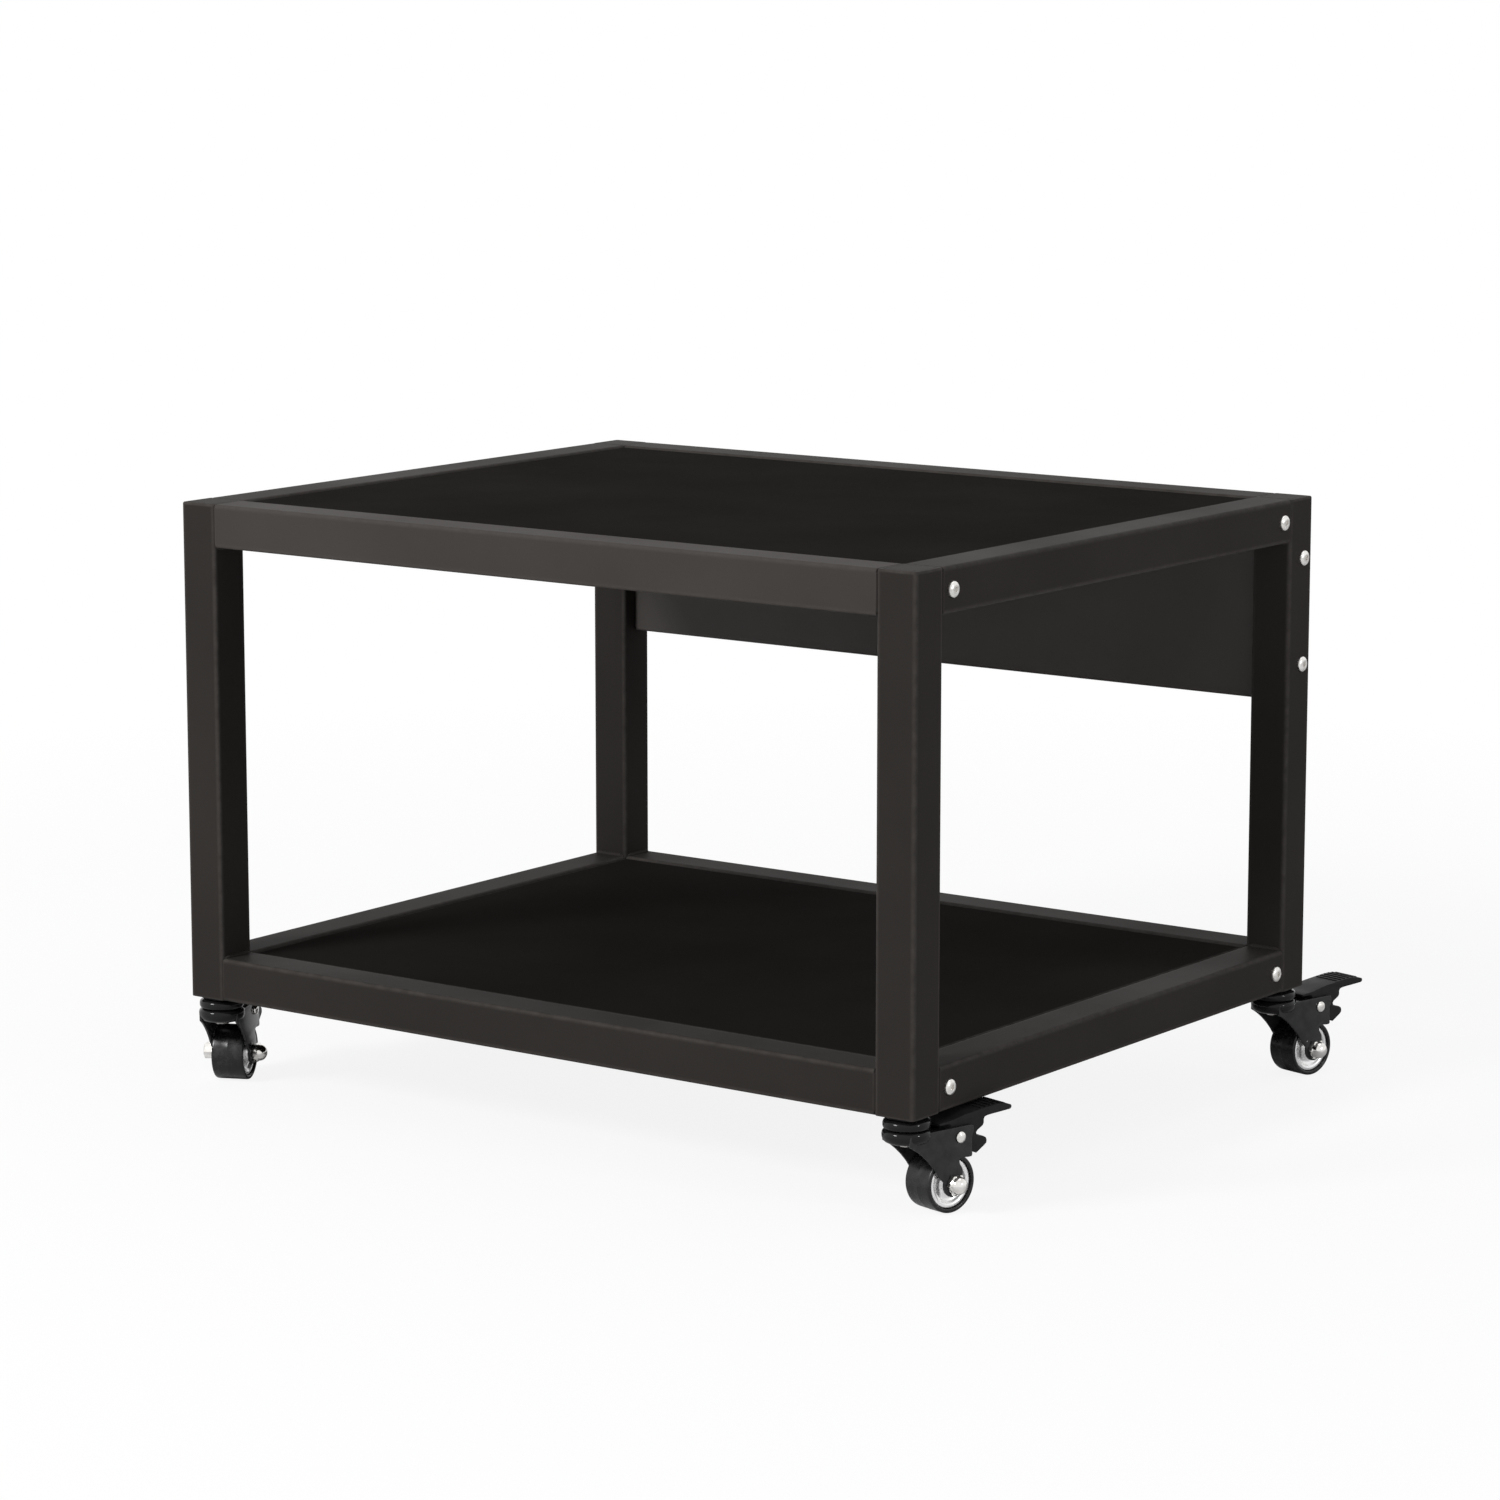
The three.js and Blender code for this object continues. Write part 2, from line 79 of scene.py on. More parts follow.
camera_data = bpy.data.cameras.new("camera")
camera_data.sensor_width = sensor_width_mm
camera_data.lens = focal_px / photo_width_px * sensor_width_mm
camera_data.clip_end = 50
camera = bpy.data.objects.new("camera", camera_data)
camera.location = (frame_centre.x + camera_offset.x, frame_centre.y + camera_offset.y, camera_offset.z)
camera.rotation_euler = (math.pi / 2 - camera_dip, 0, camera_turn)
scene.collection.objects.link(camera)
scene.camera = camera
scene.view_settings.view_transform = "Standard"


# Posts
# Four lengths of 27 mm square steel tube with rolled corners, closed at the top by a plate that is
# welded in and ground flush. The whole frame is powder coated in a warm black with little gloss.
corner_names = ("front_left", "front_right", "rear_left", "rear_right")
post_top_round = 1.1 * mm
post_top_steps = 4
post_foot_round = 0.5 * mm
post_foot_steps = 3
cap_seam_inset = 2.4 * mm
cap_seam_depth = 0.22 * mm
cap_seam_width = 0.45 * mm
tube_corner = 2.2 * mm
tube_corner_steps = 6
edge_support = 0.9 * mm
cap_flat_inset = 3 * edge_support
least_corner_wear_and_highlight = 0.4
smooth_limit = math.radians(38)
powder_black = (0.0185, 0.0165, 0.0152, 1)
powder_thin_and_highlight = (0.07, 0.064, 0.059, 1)
powder_patch_shade = 0.86
dust_grey = (0.15, 0.142, 0.132, 1)
fine_grain_share = 0.38
patch_contrast = (0.34, 0.68)
dust_facing_up = (0.75, 1.0)
dust_speckle_scale = 2400.0
dust_speckle_contrast = (0.52, 0.74)
dust_drift_scale = 14.0
dust_drift_contrast = (0.3, 0.75, 0.25, 1.0)
edge_wear_and_highlight_scale = 160.0
edge_wear_and_highlight_contrast = (0.3, 0.7, 0.45, 1.0)


def node(tree, kind, inputs=(), **settings):
    """A shader node with its settings, and values or links on its inputs."""
    made = tree.nodes.new(kind)
    for key, value in settings.items():
        setattr(made, key, value)
    for key, value in dict(inputs).items():
        if isinstance(value, bpy.types.NodeSocket):
            tree.links.new(value, made.inputs[key])
        else:
            made.inputs[key].default_value = value
    return made


def node_group(name, inputs, outputs):
    """An empty shader node group with named float inputs and outputs."""
    group = bpy.data.node_groups.new(name, "ShaderNodeTree")
    for socket, value in inputs.items():
        made = group.interface.new_socket(name=socket, in_out="INPUT", socket_type="NodeSocketFloat")
        made.default_value = value
    for socket in outputs:
        group.interface.new_socket(name=socket, in_out="OUTPUT", socket_type="NodeSocketFloat")
    return group, group.nodes.new("NodeGroupInput"), group.nodes.new("NodeGroupOutput")


def times(tree, first, second):
    return node(tree, "ShaderNodeMath", {0: first, 1: second}, operation="MULTIPLY").outputs[0]


def noise(tree, scale, detail=2.0):
    place = node(tree, "ShaderNodeTexCoord").outputs["Object"]
    return node(tree, "ShaderNodeTexNoise", {"Vector": place, "Scale": scale, "Detail": detail}).outputs[0]


def levels(tree, value, low, high, to_low=0.0, to_high=1.0):
    """The stretch from low to high of a value, spread from to_low to to_high."""
    inputs = {"Value": value, "From Min": low, "From Max": high, "To Min": to_low, "To Max": to_high}
    return node(tree, "ShaderNodeMapRange", inputs).outputs["Result"]


def mixed(tree, share, first, second):
    return node(tree, "ShaderNodeMix", {0: share, 6: first, 7: second}, data_type="RGBA").outputs[2]


def make_grain_group():
    """Coarse and fine relief together: the orange peel of a baked or sprayed coat."""
    group, given, result = node_group("surface_grain", {"Scale": 500.0, "Fine Scale": 2000.0}, ["Height"])
    coarse = noise(group, given.outputs["Scale"])
    fine = noise(group, given.outputs["Fine Scale"], 3.0)
    mix = node(group, "ShaderNodeMix", {0: fine_grain_share, 2: coarse, 3: fine})
    group.links.new(mix.outputs[0], result.inputs["Height"])
    return group


def make_patch_group():
    """Broad cloudy patches, as left by hands and by uneven cure of the coat."""
    group, given, result = node_group("cloudy_patches", {"Scale": 9.0}, ["Patches"])
    cloud = noise(group, given.outputs["Scale"], 4.0)
    group.links.new(levels(group, cloud, *patch_contrast), result.inputs["Patches"])
    return group


def make_dust_group():
    """Fine dust that settles on what faces up, thin and speckled."""
    group, given, result = node_group("settled_dust", {"Amount": 0.3}, ["Dust"])
    normal = node(group, "ShaderNodeNewGeometry").outputs["Normal"]
    facing = node(group, "ShaderNodeSeparateXYZ", {0: normal})
    upward = levels(group, facing.outputs["Z"], *dust_facing_up)
    speckle = levels(group, noise(group, dust_speckle_scale), *dust_speckle_contrast)
    drift = levels(group, noise(group, dust_drift_scale, 5.0), *dust_drift_contrast)
    dusty = times(group, times(group, upward, speckle), drift)
    group.links.new(times(group, dusty, given.outputs["Amount"]), result.inputs["Dust"])
    return group


def make_edge_wear_and_highlight_group():
    """The mesh's own edge shares, broken up, where a coat lies thin over a corner and a highlight is
    painted.
    """
    group, given, result = node_group("thin_edges_and_highlight", {"Amount": 0.6}, ["Edges"])
    share = node(group, "ShaderNodeAttribute", attribute_name="edge").outputs["Fac"]
    broken = levels(group, noise(group, edge_wear_and_highlight_scale, 3.0), *edge_wear_and_highlight_contrast)
    worn_and_highlit = times(group, times(group, share, broken), given.outputs["Amount"])
    group.links.new(worn_and_highlit, result.inputs["Edges"])
    return group


surface_grain = make_grain_group()
cloudy_patches = make_patch_group()
settled_dust = make_dust_group()
thin_edges_and_highlight = make_edge_wear_and_highlight_group()


def from_group(tree, group, output, **values):
    made = node(tree, "ShaderNodeGroup", node_tree=group)
    for name, value in values.items():
        made.inputs[name.replace("_", " ")].default_value = value
    return made.outputs[output]


def new_material(name):
    material = bpy.data.materials.new(name)
    material.use_nodes = True
    return material, material.node_tree, material.node_tree.nodes["Principled BSDF"]


def grain(tree, scale, fine_scale):
    return from_group(tree, surface_grain, "Height", Scale=scale, Fine_Scale=fine_scale)


def raise_surface(tree, shader, height, strength, depth):
    """Bumps a material by a height value. The depth is in metres."""
    bump = node(tree, "ShaderNodeBump", {"Strength": strength, "Distance": depth, "Height": height})
    tree.links.new(bump.outputs["Normal"], shader.inputs["Normal"])


def powder_coat(name, tone, dust_amount=0.1, smoothest=0.46, roughest=0.54, gloss=0.02):
    """Low-gloss black powder coat: orange peel, cloudy patches, a little dust, edges lighter from thin coat
    and painted highlight.
    """
    material, tree, shader = new_material(name)
    patches = from_group(tree, cloudy_patches, "Patches", Scale=8.0)
    dust = from_group(tree, settled_dust, "Dust", Amount=dust_amount)
    edges = from_group(tree, thin_edges_and_highlight, "Edges", Amount=0.6)
    shade = [channel * tone for channel in powder_black[:3]] + [1]
    deeper = [channel * powder_patch_shade for channel in shade[:3]] + [1]
    colour = mixed(tree, patches, deeper, shade)
    # Lighter on the edges: where the coat lies thin, and a painted highlight.
    colour = mixed(tree, edges, colour, powder_thin_and_highlight)
    colour = mixed(tree, dust, colour, dust_grey)
    tree.links.new(colour, shader.inputs["Base Color"])
    satin = levels(tree, patches, 0.0, 1.0, roughest, smoothest)
    rough = node(tree, "ShaderNodeMath", {0: satin, 1: dust}, operation="ADD").outputs[0]
    tree.links.new(rough, shader.inputs["Roughness"])
    raise_surface(tree, shader, grain(tree, 620.0, 2300.0), strength=0.32, depth=0.00016)
    shader.inputs["Specular IOR Level"].default_value = gloss
    return material


frame_coat = powder_coat("powder_coat", 1.5)


def rounded_loop(half_x, half_y, corner, height, wear_and_highlight=0.0, steps=tube_corner_steps, support=edge_support):
    """A rounded rectangle at one height: points, each with its share of edge."""
    loop = []
    for turn, (sign_x, sign_y) in enumerate(((1, -1), (1, 1), (-1, 1), (-1, -1))):
        start = (turn - 1) * math.pi / 2
        centre = Vector((sign_x * (half_x - corner), sign_y * (half_y - corner), height))
        first = Vector((math.cos(start), math.sin(start), 0))
        last = Vector((-first.y, first.x, 0))
        loop.append((centre + first * corner - last * support, wear_and_highlight))
        for step in range(steps + 1):
            angle = start + step / steps * math.pi / 2
            # Corner points carry a share of edge wear and painted highlight.
            share = math.sin(step / steps * math.pi) * (1 - least_corner_wear_and_highlight) + least_corner_wear_and_highlight
            loop.append((centre + Vector((math.cos(angle), math.sin(angle), 0)) * corner, max(share, wear_and_highlight)))
        loop.append((centre + last * corner - first * support, wear_and_highlight))
    return loop


def with_no_edge_share(loop):
    """The same loop on a plain flat, with no edge wear and no painted highlight."""
    return [(point, 0.0) for point, _ in loop]


def round_loop(radius, height, wear_and_highlight=0.0, sides=48):
    """A closed circle at one height."""
    turns = [step / sides * 2 * math.pi for step in range(sides)]
    return [(Vector((math.cos(turn) * radius, math.sin(turn) * radius, height)), wear_and_highlight) for turn in turns]


def skin(work, loops, place=None, cap_first=True, cap_last=True):
    """Joins loops of equal length into a closed surface in a bmesh."""
    edge_layer = work.verts.layers.float.get("edge") or work.verts.layers.float.new("edge")
    place = place or Matrix.Identity(4)
    rows = []
    for loop in loops:
        row = []
        for point, wear_and_highlight in loop:
            vertex = work.verts.new(place @ point)
            vertex[edge_layer] = wear_and_highlight
            row.append(vertex)
        rows.append(row)
    for lower, upper in zip(rows, rows[1:]):
        for index in range(len(lower)):
            after = (index + 1) % len(lower)
            work.faces.new((lower[index], lower[after], upper[after], upper[index]))
    if cap_first:
        work.faces.new(reversed(rows[0]))
    if cap_last:
        work.faces.new(rows[-1])
    return rows


def piece_from(work, name, material):
    """Turns a bmesh into a smooth-shaded object whose hard edges stay hard."""
    bmesh.ops.recalc_face_normals(work, faces=work.faces)
    mesh = bpy.data.meshes.new(name)
    work.to_mesh(mesh)
    work.free()
    mesh.shade_smooth()
    mesh.set_sharp_from_angle(angle=smooth_limit)
    mesh.materials.append(material)
    piece = bpy.data.objects.new(name, mesh)
    scene.collection.objects.link(piece)
    return piece


def quarter_round(radius, steps):
    """Inset and drop of each step of a rounded edge, from the side to the top."""
    angles = [step / steps * math.pi / 2 for step in range(steps + 1)]
    return [(radius * (1 - math.cos(angle)), radius * (1 - math.sin(angle))) for angle in angles]


def post_mesh(half_x, half_y, height):
    loops = []
    for inset, drop in reversed(quarter_round(post_foot_round, post_foot_steps)):
        loops.append(rounded_loop(half_x - inset, half_y - inset, tube_corner - inset, drop, 1.0))
    loops.append(rounded_loop(half_x, half_y, tube_corner, post_foot_round + edge_support))
    loops.append(rounded_loop(half_x, half_y, tube_corner, height - post_top_round - edge_support))
    for inset, drop in quarter_round(post_top_round, post_top_steps):
        loops.append(rounded_loop(half_x - inset, half_y - inset, tube_corner - inset, height - drop, 1.0))
    seam_corner = tube_corner - post_top_round
    seam = ((0, 0), (cap_seam_width / 2, cap_seam_depth), (cap_seam_width, 0), (cap_flat_inset, 0))
    for inset, drop in seam:
        size_x = half_x - cap_seam_inset - inset
        size_y = half_y - cap_seam_inset - inset
        loops.append(with_no_edge_share(rounded_loop(size_x, size_y, seam_corner, height - drop)))
    work = bmesh.new()
    skin(work, loops)
    return work


for corner in corner_names:
    low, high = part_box(f"{corner}_post")
    size = high - low
    work = post_mesh(size.x / 2, size.y / 2, size.z)
    bmesh.ops.translate(work, verts=work.verts, vec=((low.x + high.x) / 2, (low.y + high.y) / 2, low.z))
    post = piece_from(work, f"{corner}_post_tube", frame_coat)
    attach(post, "frame")
    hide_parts(f"{corner}_post")


# Rails
# The same square tube, cut square and butted between the posts at two levels, then welded all round.
# The seams on the outer faces are ground flush. The upper front rail takes a paler coat: painted light.
rail_end_round = 0.35 * mm
rail_end_wear_and_highlight = 0.6
# A paler copy of the frame's coat, as painted light on the upper front rail.
upper_front_rail_painted_light_coat = powder_coat("powder_coat_front_painted_light", 2.7)


def along(axis):
    """Turns something built up the Z axis to run along X or Y."""
    if axis == "x":
        return Matrix(((0, 0, 1, 0), (1, 0, 0, 0), (0, 1, 0, 0), (0, 0, 0, 1)))
    return Matrix(((1, 0, 0, 0), (0, 0, 1, 0), (0, 1, 0, 0), (0, 0, 0, 1)))


def rail_mesh(half, length):
    end_half = half - rail_end_round
    work = bmesh.new()
    skin(work, [
        rounded_loop(end_half, end_half, tube_corner, 0, rail_end_wear_and_highlight),
        rounded_loop(half, half, tube_corner, rail_end_round, rail_end_wear_and_highlight),
        rounded_loop(half, half, tube_corner, rail_end_round + edge_support),
        rounded_loop(half, half, tube_corner, length - rail_end_round - edge_support),
        rounded_loop(half, half, tube_corner, length - rail_end_round, rail_end_wear_and_highlight),
        rounded_loop(end_half, end_half, tube_corner, length, rail_end_wear_and_highlight),
    ])
    return work


rails = [(level, side) for level in ("upper", "lower") for side in ("front", "rear", "left", "right")]
for level, side in rails:
    low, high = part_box(f"{level}_{side}_rail")
    axis = "x" if side in ("front", "rear") else "y"
    length = high.x - low.x if axis == "x" else high.y - low.y
    half = (high.z - low.z) / 2
    work = rail_mesh(half, length)
    centre = (low + high) / 2
    start = Vector((low.x, centre.y, centre.z)) if axis == "x" else Vector((centre.x, low.y, centre.z))
    bmesh.ops.transform(work, verts=work.verts, matrix=Matrix.Translation(start) @ along(axis))
    # The upper front rail takes the paler coat of painted light.
    coat = upper_front_rail_painted_light_coat if (level, side) == ("upper", "front") else frame_coat
    rail = piece_from(work, f"{level}_{side}_rail_tube", coat)
    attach(rail, "frame")
    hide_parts(f"{level}_{side}_rail")


# Weld seams
# A ground seam lies in the groove round each rail's end, and a small rippled bead is left standing
# in the inner corner, below an upper rail and above a lower one. They are coated with the frame.
seam_radius = 1.5 * mm
seam_below_face = 0.12 * mm
seam_corner_steps = 4
seam_support = 0.1 * mm
bead_radius = 1.7 * mm
bead_ripple_share = 0.12
bead_pitch = 2.2 * mm
bead_steps_per_pitch = 6
bead_end_gap = 2.0 * mm
bead_end_share = 0.35
bead_taper = 6
bead_wear_and_highlight = 0.35
weld_sides = 10


def ground_seam(work, half, place):
    """A round ring that follows the tube's outline just below its faces."""
    inset = seam_radius + seam_below_face
    path = rounded_loop(half - inset, half - inset, tube_corner, 0, 0.0, seam_corner_steps, seam_support)
    rows = []
    for index, (point, _) in enumerate(path):
        before = path[index - 1][0]
        after = path[(index + 1) % len(path)][0]
        ahead = (after - before).normalized()
        outward = Vector((ahead.y, -ahead.x, 0))
        row = []
        for step in range(weld_sides):
            turn = step / weld_sides * 2 * math.pi
            spot = point + (outward * math.cos(turn) + Vector((0, 0, 1)) * math.sin(turn)) * seam_radius
            row.append(work.verts.new(place @ spot))
        rows.append(row)
    for index, row in enumerate(rows):
        following = rows[(index + 1) % len(rows)]
        for step in range(weld_sides):
            after = (step + 1) % weld_sides
            work.faces.new((row[step], row[after], following[after], following[step]))


def standing_bead(work, length, place):
    """A rippled bead up the Z axis, as a torch leaves it."""
    count = round(length / bead_pitch) * bead_steps_per_pitch
    loops = []
    for step in range(count + 1):
        share = step / count
        taper = min(1.0, bead_end_share + bead_taper * min(share, 1 - share))
        ripple = 1 + bead_ripple_share * abs(math.sin(share * length / bead_pitch * math.pi))
        loops.append(round_loop(bead_radius * taper * ripple, share * length, bead_wear_and_highlight, weld_sides))
    skin(work, loops, place)


for level, side in rails:
    low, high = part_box(f"{level}_{side}_rail")
    centre = (low + high) / 2
    half = (high.z - low.z) / 2
    work = bmesh.new()
    work.verts.layers.float.new("edge")
    inner_face = low.z if level == "upper" else high.z
    bead_length = 2 * (half - bead_end_gap)
    for end in (low, high):
        if side in ("front", "rear"):
            ground_seam(work, half, Matrix.Translation((end.x, centre.y, centre.z)) @ along("x"))
            start = Vector((end.x, centre.y - bead_length / 2, inner_face))
            standing_bead(work, bead_length, Matrix.Translation(start) @ along("y"))
        else:
            ground_seam(work, half, Matrix.Translation((centre.x, end.y, centre.z)) @ along("y"))
            start = Vector((centre.x - bead_length / 2, end.y, inner_face))
            standing_bead(work, bead_length, Matrix.Translation(start) @ along("x"))
    welds = piece_from(work, f"{level}_{side}_rail_welds", frame_coat)
    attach(welds, "frame")


# Decks
# Two trays folded from 1.5 mm sheet, let in 1 mm below the rails, powder coated darker as painted shade.
# Their skirts hang down inside the rails, and carry a hexagon nut welded behind each screw.
deck_sheet = 1.5 * mm
deck_bend = 2.4 * mm
deck_side_gap = 0.35 * mm
deck_corner = 2.6 * mm
deck_flat_corner = 0.2 * mm
hem_round = 0.3 * mm
fold_wear_and_highlight = 0.8
outer_bend_steps = 6
inner_bend_steps = 4
tray_flat_inset = 12 * edge_support
weld_nut_radius = 4.7 * mm
weld_nut_height = 4.0 * mm
weld_nut_chamfer = 0.5 * mm
nut_face_wear_and_highlight = 0.5
nut_corner_wear_and_highlight = 0.7
screw_radius = 2.5 * mm
turned_sides = 36
hexagon_flat_share = math.cos(math.pi / 6)
# A darker copy of the frame's coat, as painted shade on the decks.
deck_painted_shade_coat = powder_coat("deck_painted_shade_coat", 0.75, 0.05, 0.7, 0.8, 0.001)


def tray_loops(half_x, half_y, skirt, sheet, bend, corner):
    """A folded tray, from the middle of its underside round the hem to the middle of its top."""
    inner_bend = bend - sheet
    flats = (tray_flat_inset, bend + edge_support)
    loops = [with_no_edge_share(rounded_loop(half_x - inset, half_y - inset, corner, -sheet)) for inset in flats]
    for inset, drop in reversed(quarter_round(inner_bend, inner_bend_steps)):
        shift = sheet + inset
        loops.append(rounded_loop(half_x - shift, half_y - shift, corner - sheet, -sheet - drop))
    loops.append(rounded_loop(half_x - sheet, half_y - sheet, corner - sheet, -skirt + hem_round))
    for inset, lift in ((sheet - hem_round, 0), (hem_round, 0), (0, hem_round)):
        loops.append(rounded_loop(half_x - inset, half_y - inset, corner - inset, -skirt + lift, fold_wear_and_highlight))
    loops.append(rounded_loop(half_x, half_y, corner, -skirt + hem_round + edge_support))
    loops.append(rounded_loop(half_x, half_y, corner, -bend - edge_support))
    for inset, drop in quarter_round(bend, outer_bend_steps):
        round_left = max(corner - inset, deck_flat_corner)
        loops.append(rounded_loop(half_x - inset, half_y - inset, round_left, -drop, fold_wear_and_highlight))
    for inset in reversed(flats):
        loops.append(with_no_edge_share(rounded_loop(half_x - inset, half_y - inset, deck_flat_corner, 0)))
    return loops


def turned_loop(radius, height, wear_and_highlight=0.0):
    """A circle with the number of points of all small turned parts."""
    return round_loop(radius, height, wear_and_highlight, turned_sides)


def hexagon_loop(radius, height, wear_and_highlight=0.0):
    """As many points on a regular hexagon, so that it joins turned loops."""
    loop = []
    for step in range(turned_sides):
        turn = step / turned_sides * 2 * math.pi
        reach = hexagon_flat_share / math.cos(turn % (math.pi / 3) - math.pi / 6)
        point = Vector((math.cos(turn), math.sin(turn), 0)) * radius * reach
        loop.append((point + Vector((0, 0, height)), wear_and_highlight))
    return loop


def nut_loops(radius, height, chamfer, bore):
    """A hexagon nut with chamfered corners and a countersunk bore."""
    flat = radius * hexagon_flat_share
    return [
        turned_loop(bore, 0),
        turned_loop(flat, 0, nut_face_wear_and_highlight),
        hexagon_loop(radius, chamfer, nut_corner_wear_and_highlight),
        hexagon_loop(radius, height - chamfer, nut_corner_wear_and_highlight),
        turned_loop(flat, height, nut_face_wear_and_highlight),
        turned_loop(bore + chamfer, height, nut_face_wear_and_highlight),
        turned_loop(bore, height - chamfer),
        turned_loop(bore, 0),
    ]


def pointing_in(spot):
    """Turns something built up the Z axis to point along X, to the rack's middle."""
    turn = -math.pi / 2 if spot.x > frame_centre.x else math.pi / 2
    return Matrix.Translation(spot) @ Matrix.Rotation(turn, 4, "Y")


def screw_axis(name):
    low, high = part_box(name)
    return (low + high) / 2


for level in ("upper", "lower"):
    low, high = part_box(f"{level}_deck")
    half = (high - low) / 2
    middle = (low + high) / 2
    work = bmesh.new()
    loops = tray_loops(half.x - deck_side_gap, half.y - deck_side_gap, high.z - low.z,
                       deck_sheet, deck_bend, deck_corner)
    skin(work, loops, Matrix.Translation((middle.x, middle.y, high.z)))
    for corner in corner_names:
        spot = screw_axis(f"{level}_{corner}_deck_screw")
        reach = half.x - deck_side_gap - deck_sheet
        spot.x = middle.x + math.copysign(reach, spot.x - middle.x)
        skin(work, nut_loops(weld_nut_radius, weld_nut_height, weld_nut_chamfer, screw_radius),
             pointing_in(spot), False, False)
    deck = piece_from(work, f"{level}_deck_tray", deck_painted_shade_coat)
    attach(deck, "frame")
    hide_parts(f"{level}_deck")


# Back panel
# One folded sheet between the rear posts under the upper rail, with its returns turned to the back.
# Two screws through each post go into nuts welded inside the side returns. Its paler coat is painted light.
panel_sheet = 1.2 * mm
panel_bend = 1.9 * mm
panel_corner = 2.0 * mm
panel_gap = 0.3 * mm
panel_nut_radius = 0.9 * weld_nut_radius
panel_screw_names = ("upper_left", "upper_right", "lower_left", "lower_right")
# A paler copy of the frame's coat, as painted light on the panel, which sits in the upper deck's shade.
panel_painted_light_coat = powder_coat("panel_painted_light_coat", 3.4, gloss=0.2)

low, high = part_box("back_panel")
half = (high - low) / 2
middle = (low + high) / 2
facing_front = Matrix(((1, 0, 0, 0), (0, 0, -1, 0), (0, 1, 0, 0), (0, 0, 0, 1)))
work = bmesh.new()
loops = tray_loops(half.x - panel_gap, half.z - panel_gap, high.y - low.y,
                   panel_sheet, panel_bend, panel_corner)
skin(work, loops, Matrix.Translation((middle.x, low.y, middle.z)) @ facing_front)
for name in panel_screw_names:
    spot = screw_axis(f"{name}_panel_screw")
    spot.x = middle.x + math.copysign(half.x - panel_gap - panel_sheet, spot.x - middle.x)
    skin(work, nut_loops(panel_nut_radius, weld_nut_height, weld_nut_chamfer, screw_radius),
         pointing_in(spot), False, False)
panel = piece_from(work, "back_panel_sheet", panel_painted_light_coat)
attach(panel, "frame")
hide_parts("back_panel")


# Screws
# Nickel plated pan-head machine screws with a hexagon socket. Eight go through the side rails into
# the decks, four go through the rear posts into the back panel. Their ends show below the decks.
head_radius = 4.9 * mm
head_height = 2.7 * mm
head_rim = 0.9 * mm
head_side_share = 0.7
head_dome_steps = 6
head_dome_turn = math.radians(62)
head_dome_reach = 0.44
socket_radius = 1.75 * mm
socket_depth = 1.5 * mm
thread_depth = 0.35 * mm
thread_pitch = 0.8 * mm
thread_turns = 9
thread_start = 0.25
socket_mouth = 1.1
socket_mouth_depth = 0.12
nickel_bright = (0.88, 0.865, 0.84, 1)
nickel_dull = (0.66, 0.64, 0.61, 1)


def bright_nickel(name, rough_low, rough_high):
    """Nickel plate with a fine grain and dull patches."""
    material, tree, shader = new_material(name)
    patches = from_group(tree, cloudy_patches, "Patches", Scale=220.0)
    tree.links.new(mixed(tree, patches, nickel_bright, nickel_dull), shader.inputs["Base Color"])
    tree.links.new(levels(tree, patches, 0.0, 1.0, rough_low, rough_high), shader.inputs["Roughness"])
    raise_surface(tree, shader, grain(tree, 1500.0, 6000.0), strength=0.16, depth=0.00005)
    shader.inputs["Metallic"].default_value = 1.0
    return material


screw_nickel = bright_nickel("screw_nickel", 0.2, 0.34)


def screw_loops(shank_length):
    """A screw up the Z axis: thread, shank, pan head and socket."""
    loops = [turned_loop(screw_radius - thread_depth, -shank_length)]
    for turn in range(thread_turns):
        base = -shank_length + (turn + thread_start) * thread_pitch
        loops.append(turned_loop(screw_radius, base))
        loops.append(turned_loop(screw_radius - thread_depth, base + thread_pitch / 2))
    loops.append(turned_loop(screw_radius, -shank_length + (thread_turns + 1) * thread_pitch))
    loops.append(turned_loop(screw_radius, 0))
    loops.append(turned_loop(head_radius, 0))
    loops.append(turned_loop(head_radius, head_rim * head_side_share))
    for step in range(1, head_dome_steps + 1):
        angle = step / head_dome_steps * head_dome_turn
        inward = (1 - math.cos(angle)) / (1 - math.cos(head_dome_turn))
        lift = head_rim + (head_height - head_rim) * math.sin(angle) / math.sin(head_dome_turn)
        loops.append(turned_loop(head_radius * (1 - head_dome_reach * inward), lift))
    loops.append(hexagon_loop(socket_radius * socket_mouth, head_height))
    loops.append(hexagon_loop(socket_radius, head_height - socket_depth * socket_mouth_depth))
    loops.append(hexagon_loop(socket_radius, head_height - socket_depth))
    return loops


deck_screws = [f"{level}_{corner}_deck_screw" for level in ("upper", "lower") for corner in corner_names]
panel_screws = [f"{name}_panel_screw" for name in panel_screw_names]
for name in deck_screws + panel_screws:
    low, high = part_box(name)
    axis = screw_axis(name)
    outward = 1 if axis.x > frame_centre.x else -1
    seat = high.x - head_height if outward > 0 else low.x + head_height
    shank_length = high.x - low.x - head_height
    place = Matrix.Translation((seat, axis.y, axis.z)) @ Matrix.Rotation(outward * math.pi / 2, 4, "Y")
    work = bmesh.new()
    skin(work, screw_loops(shank_length), place)
    screw = piece_from(work, f"{name}_nickel", screw_nickel)
    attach(screw, "frame")
    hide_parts(name)


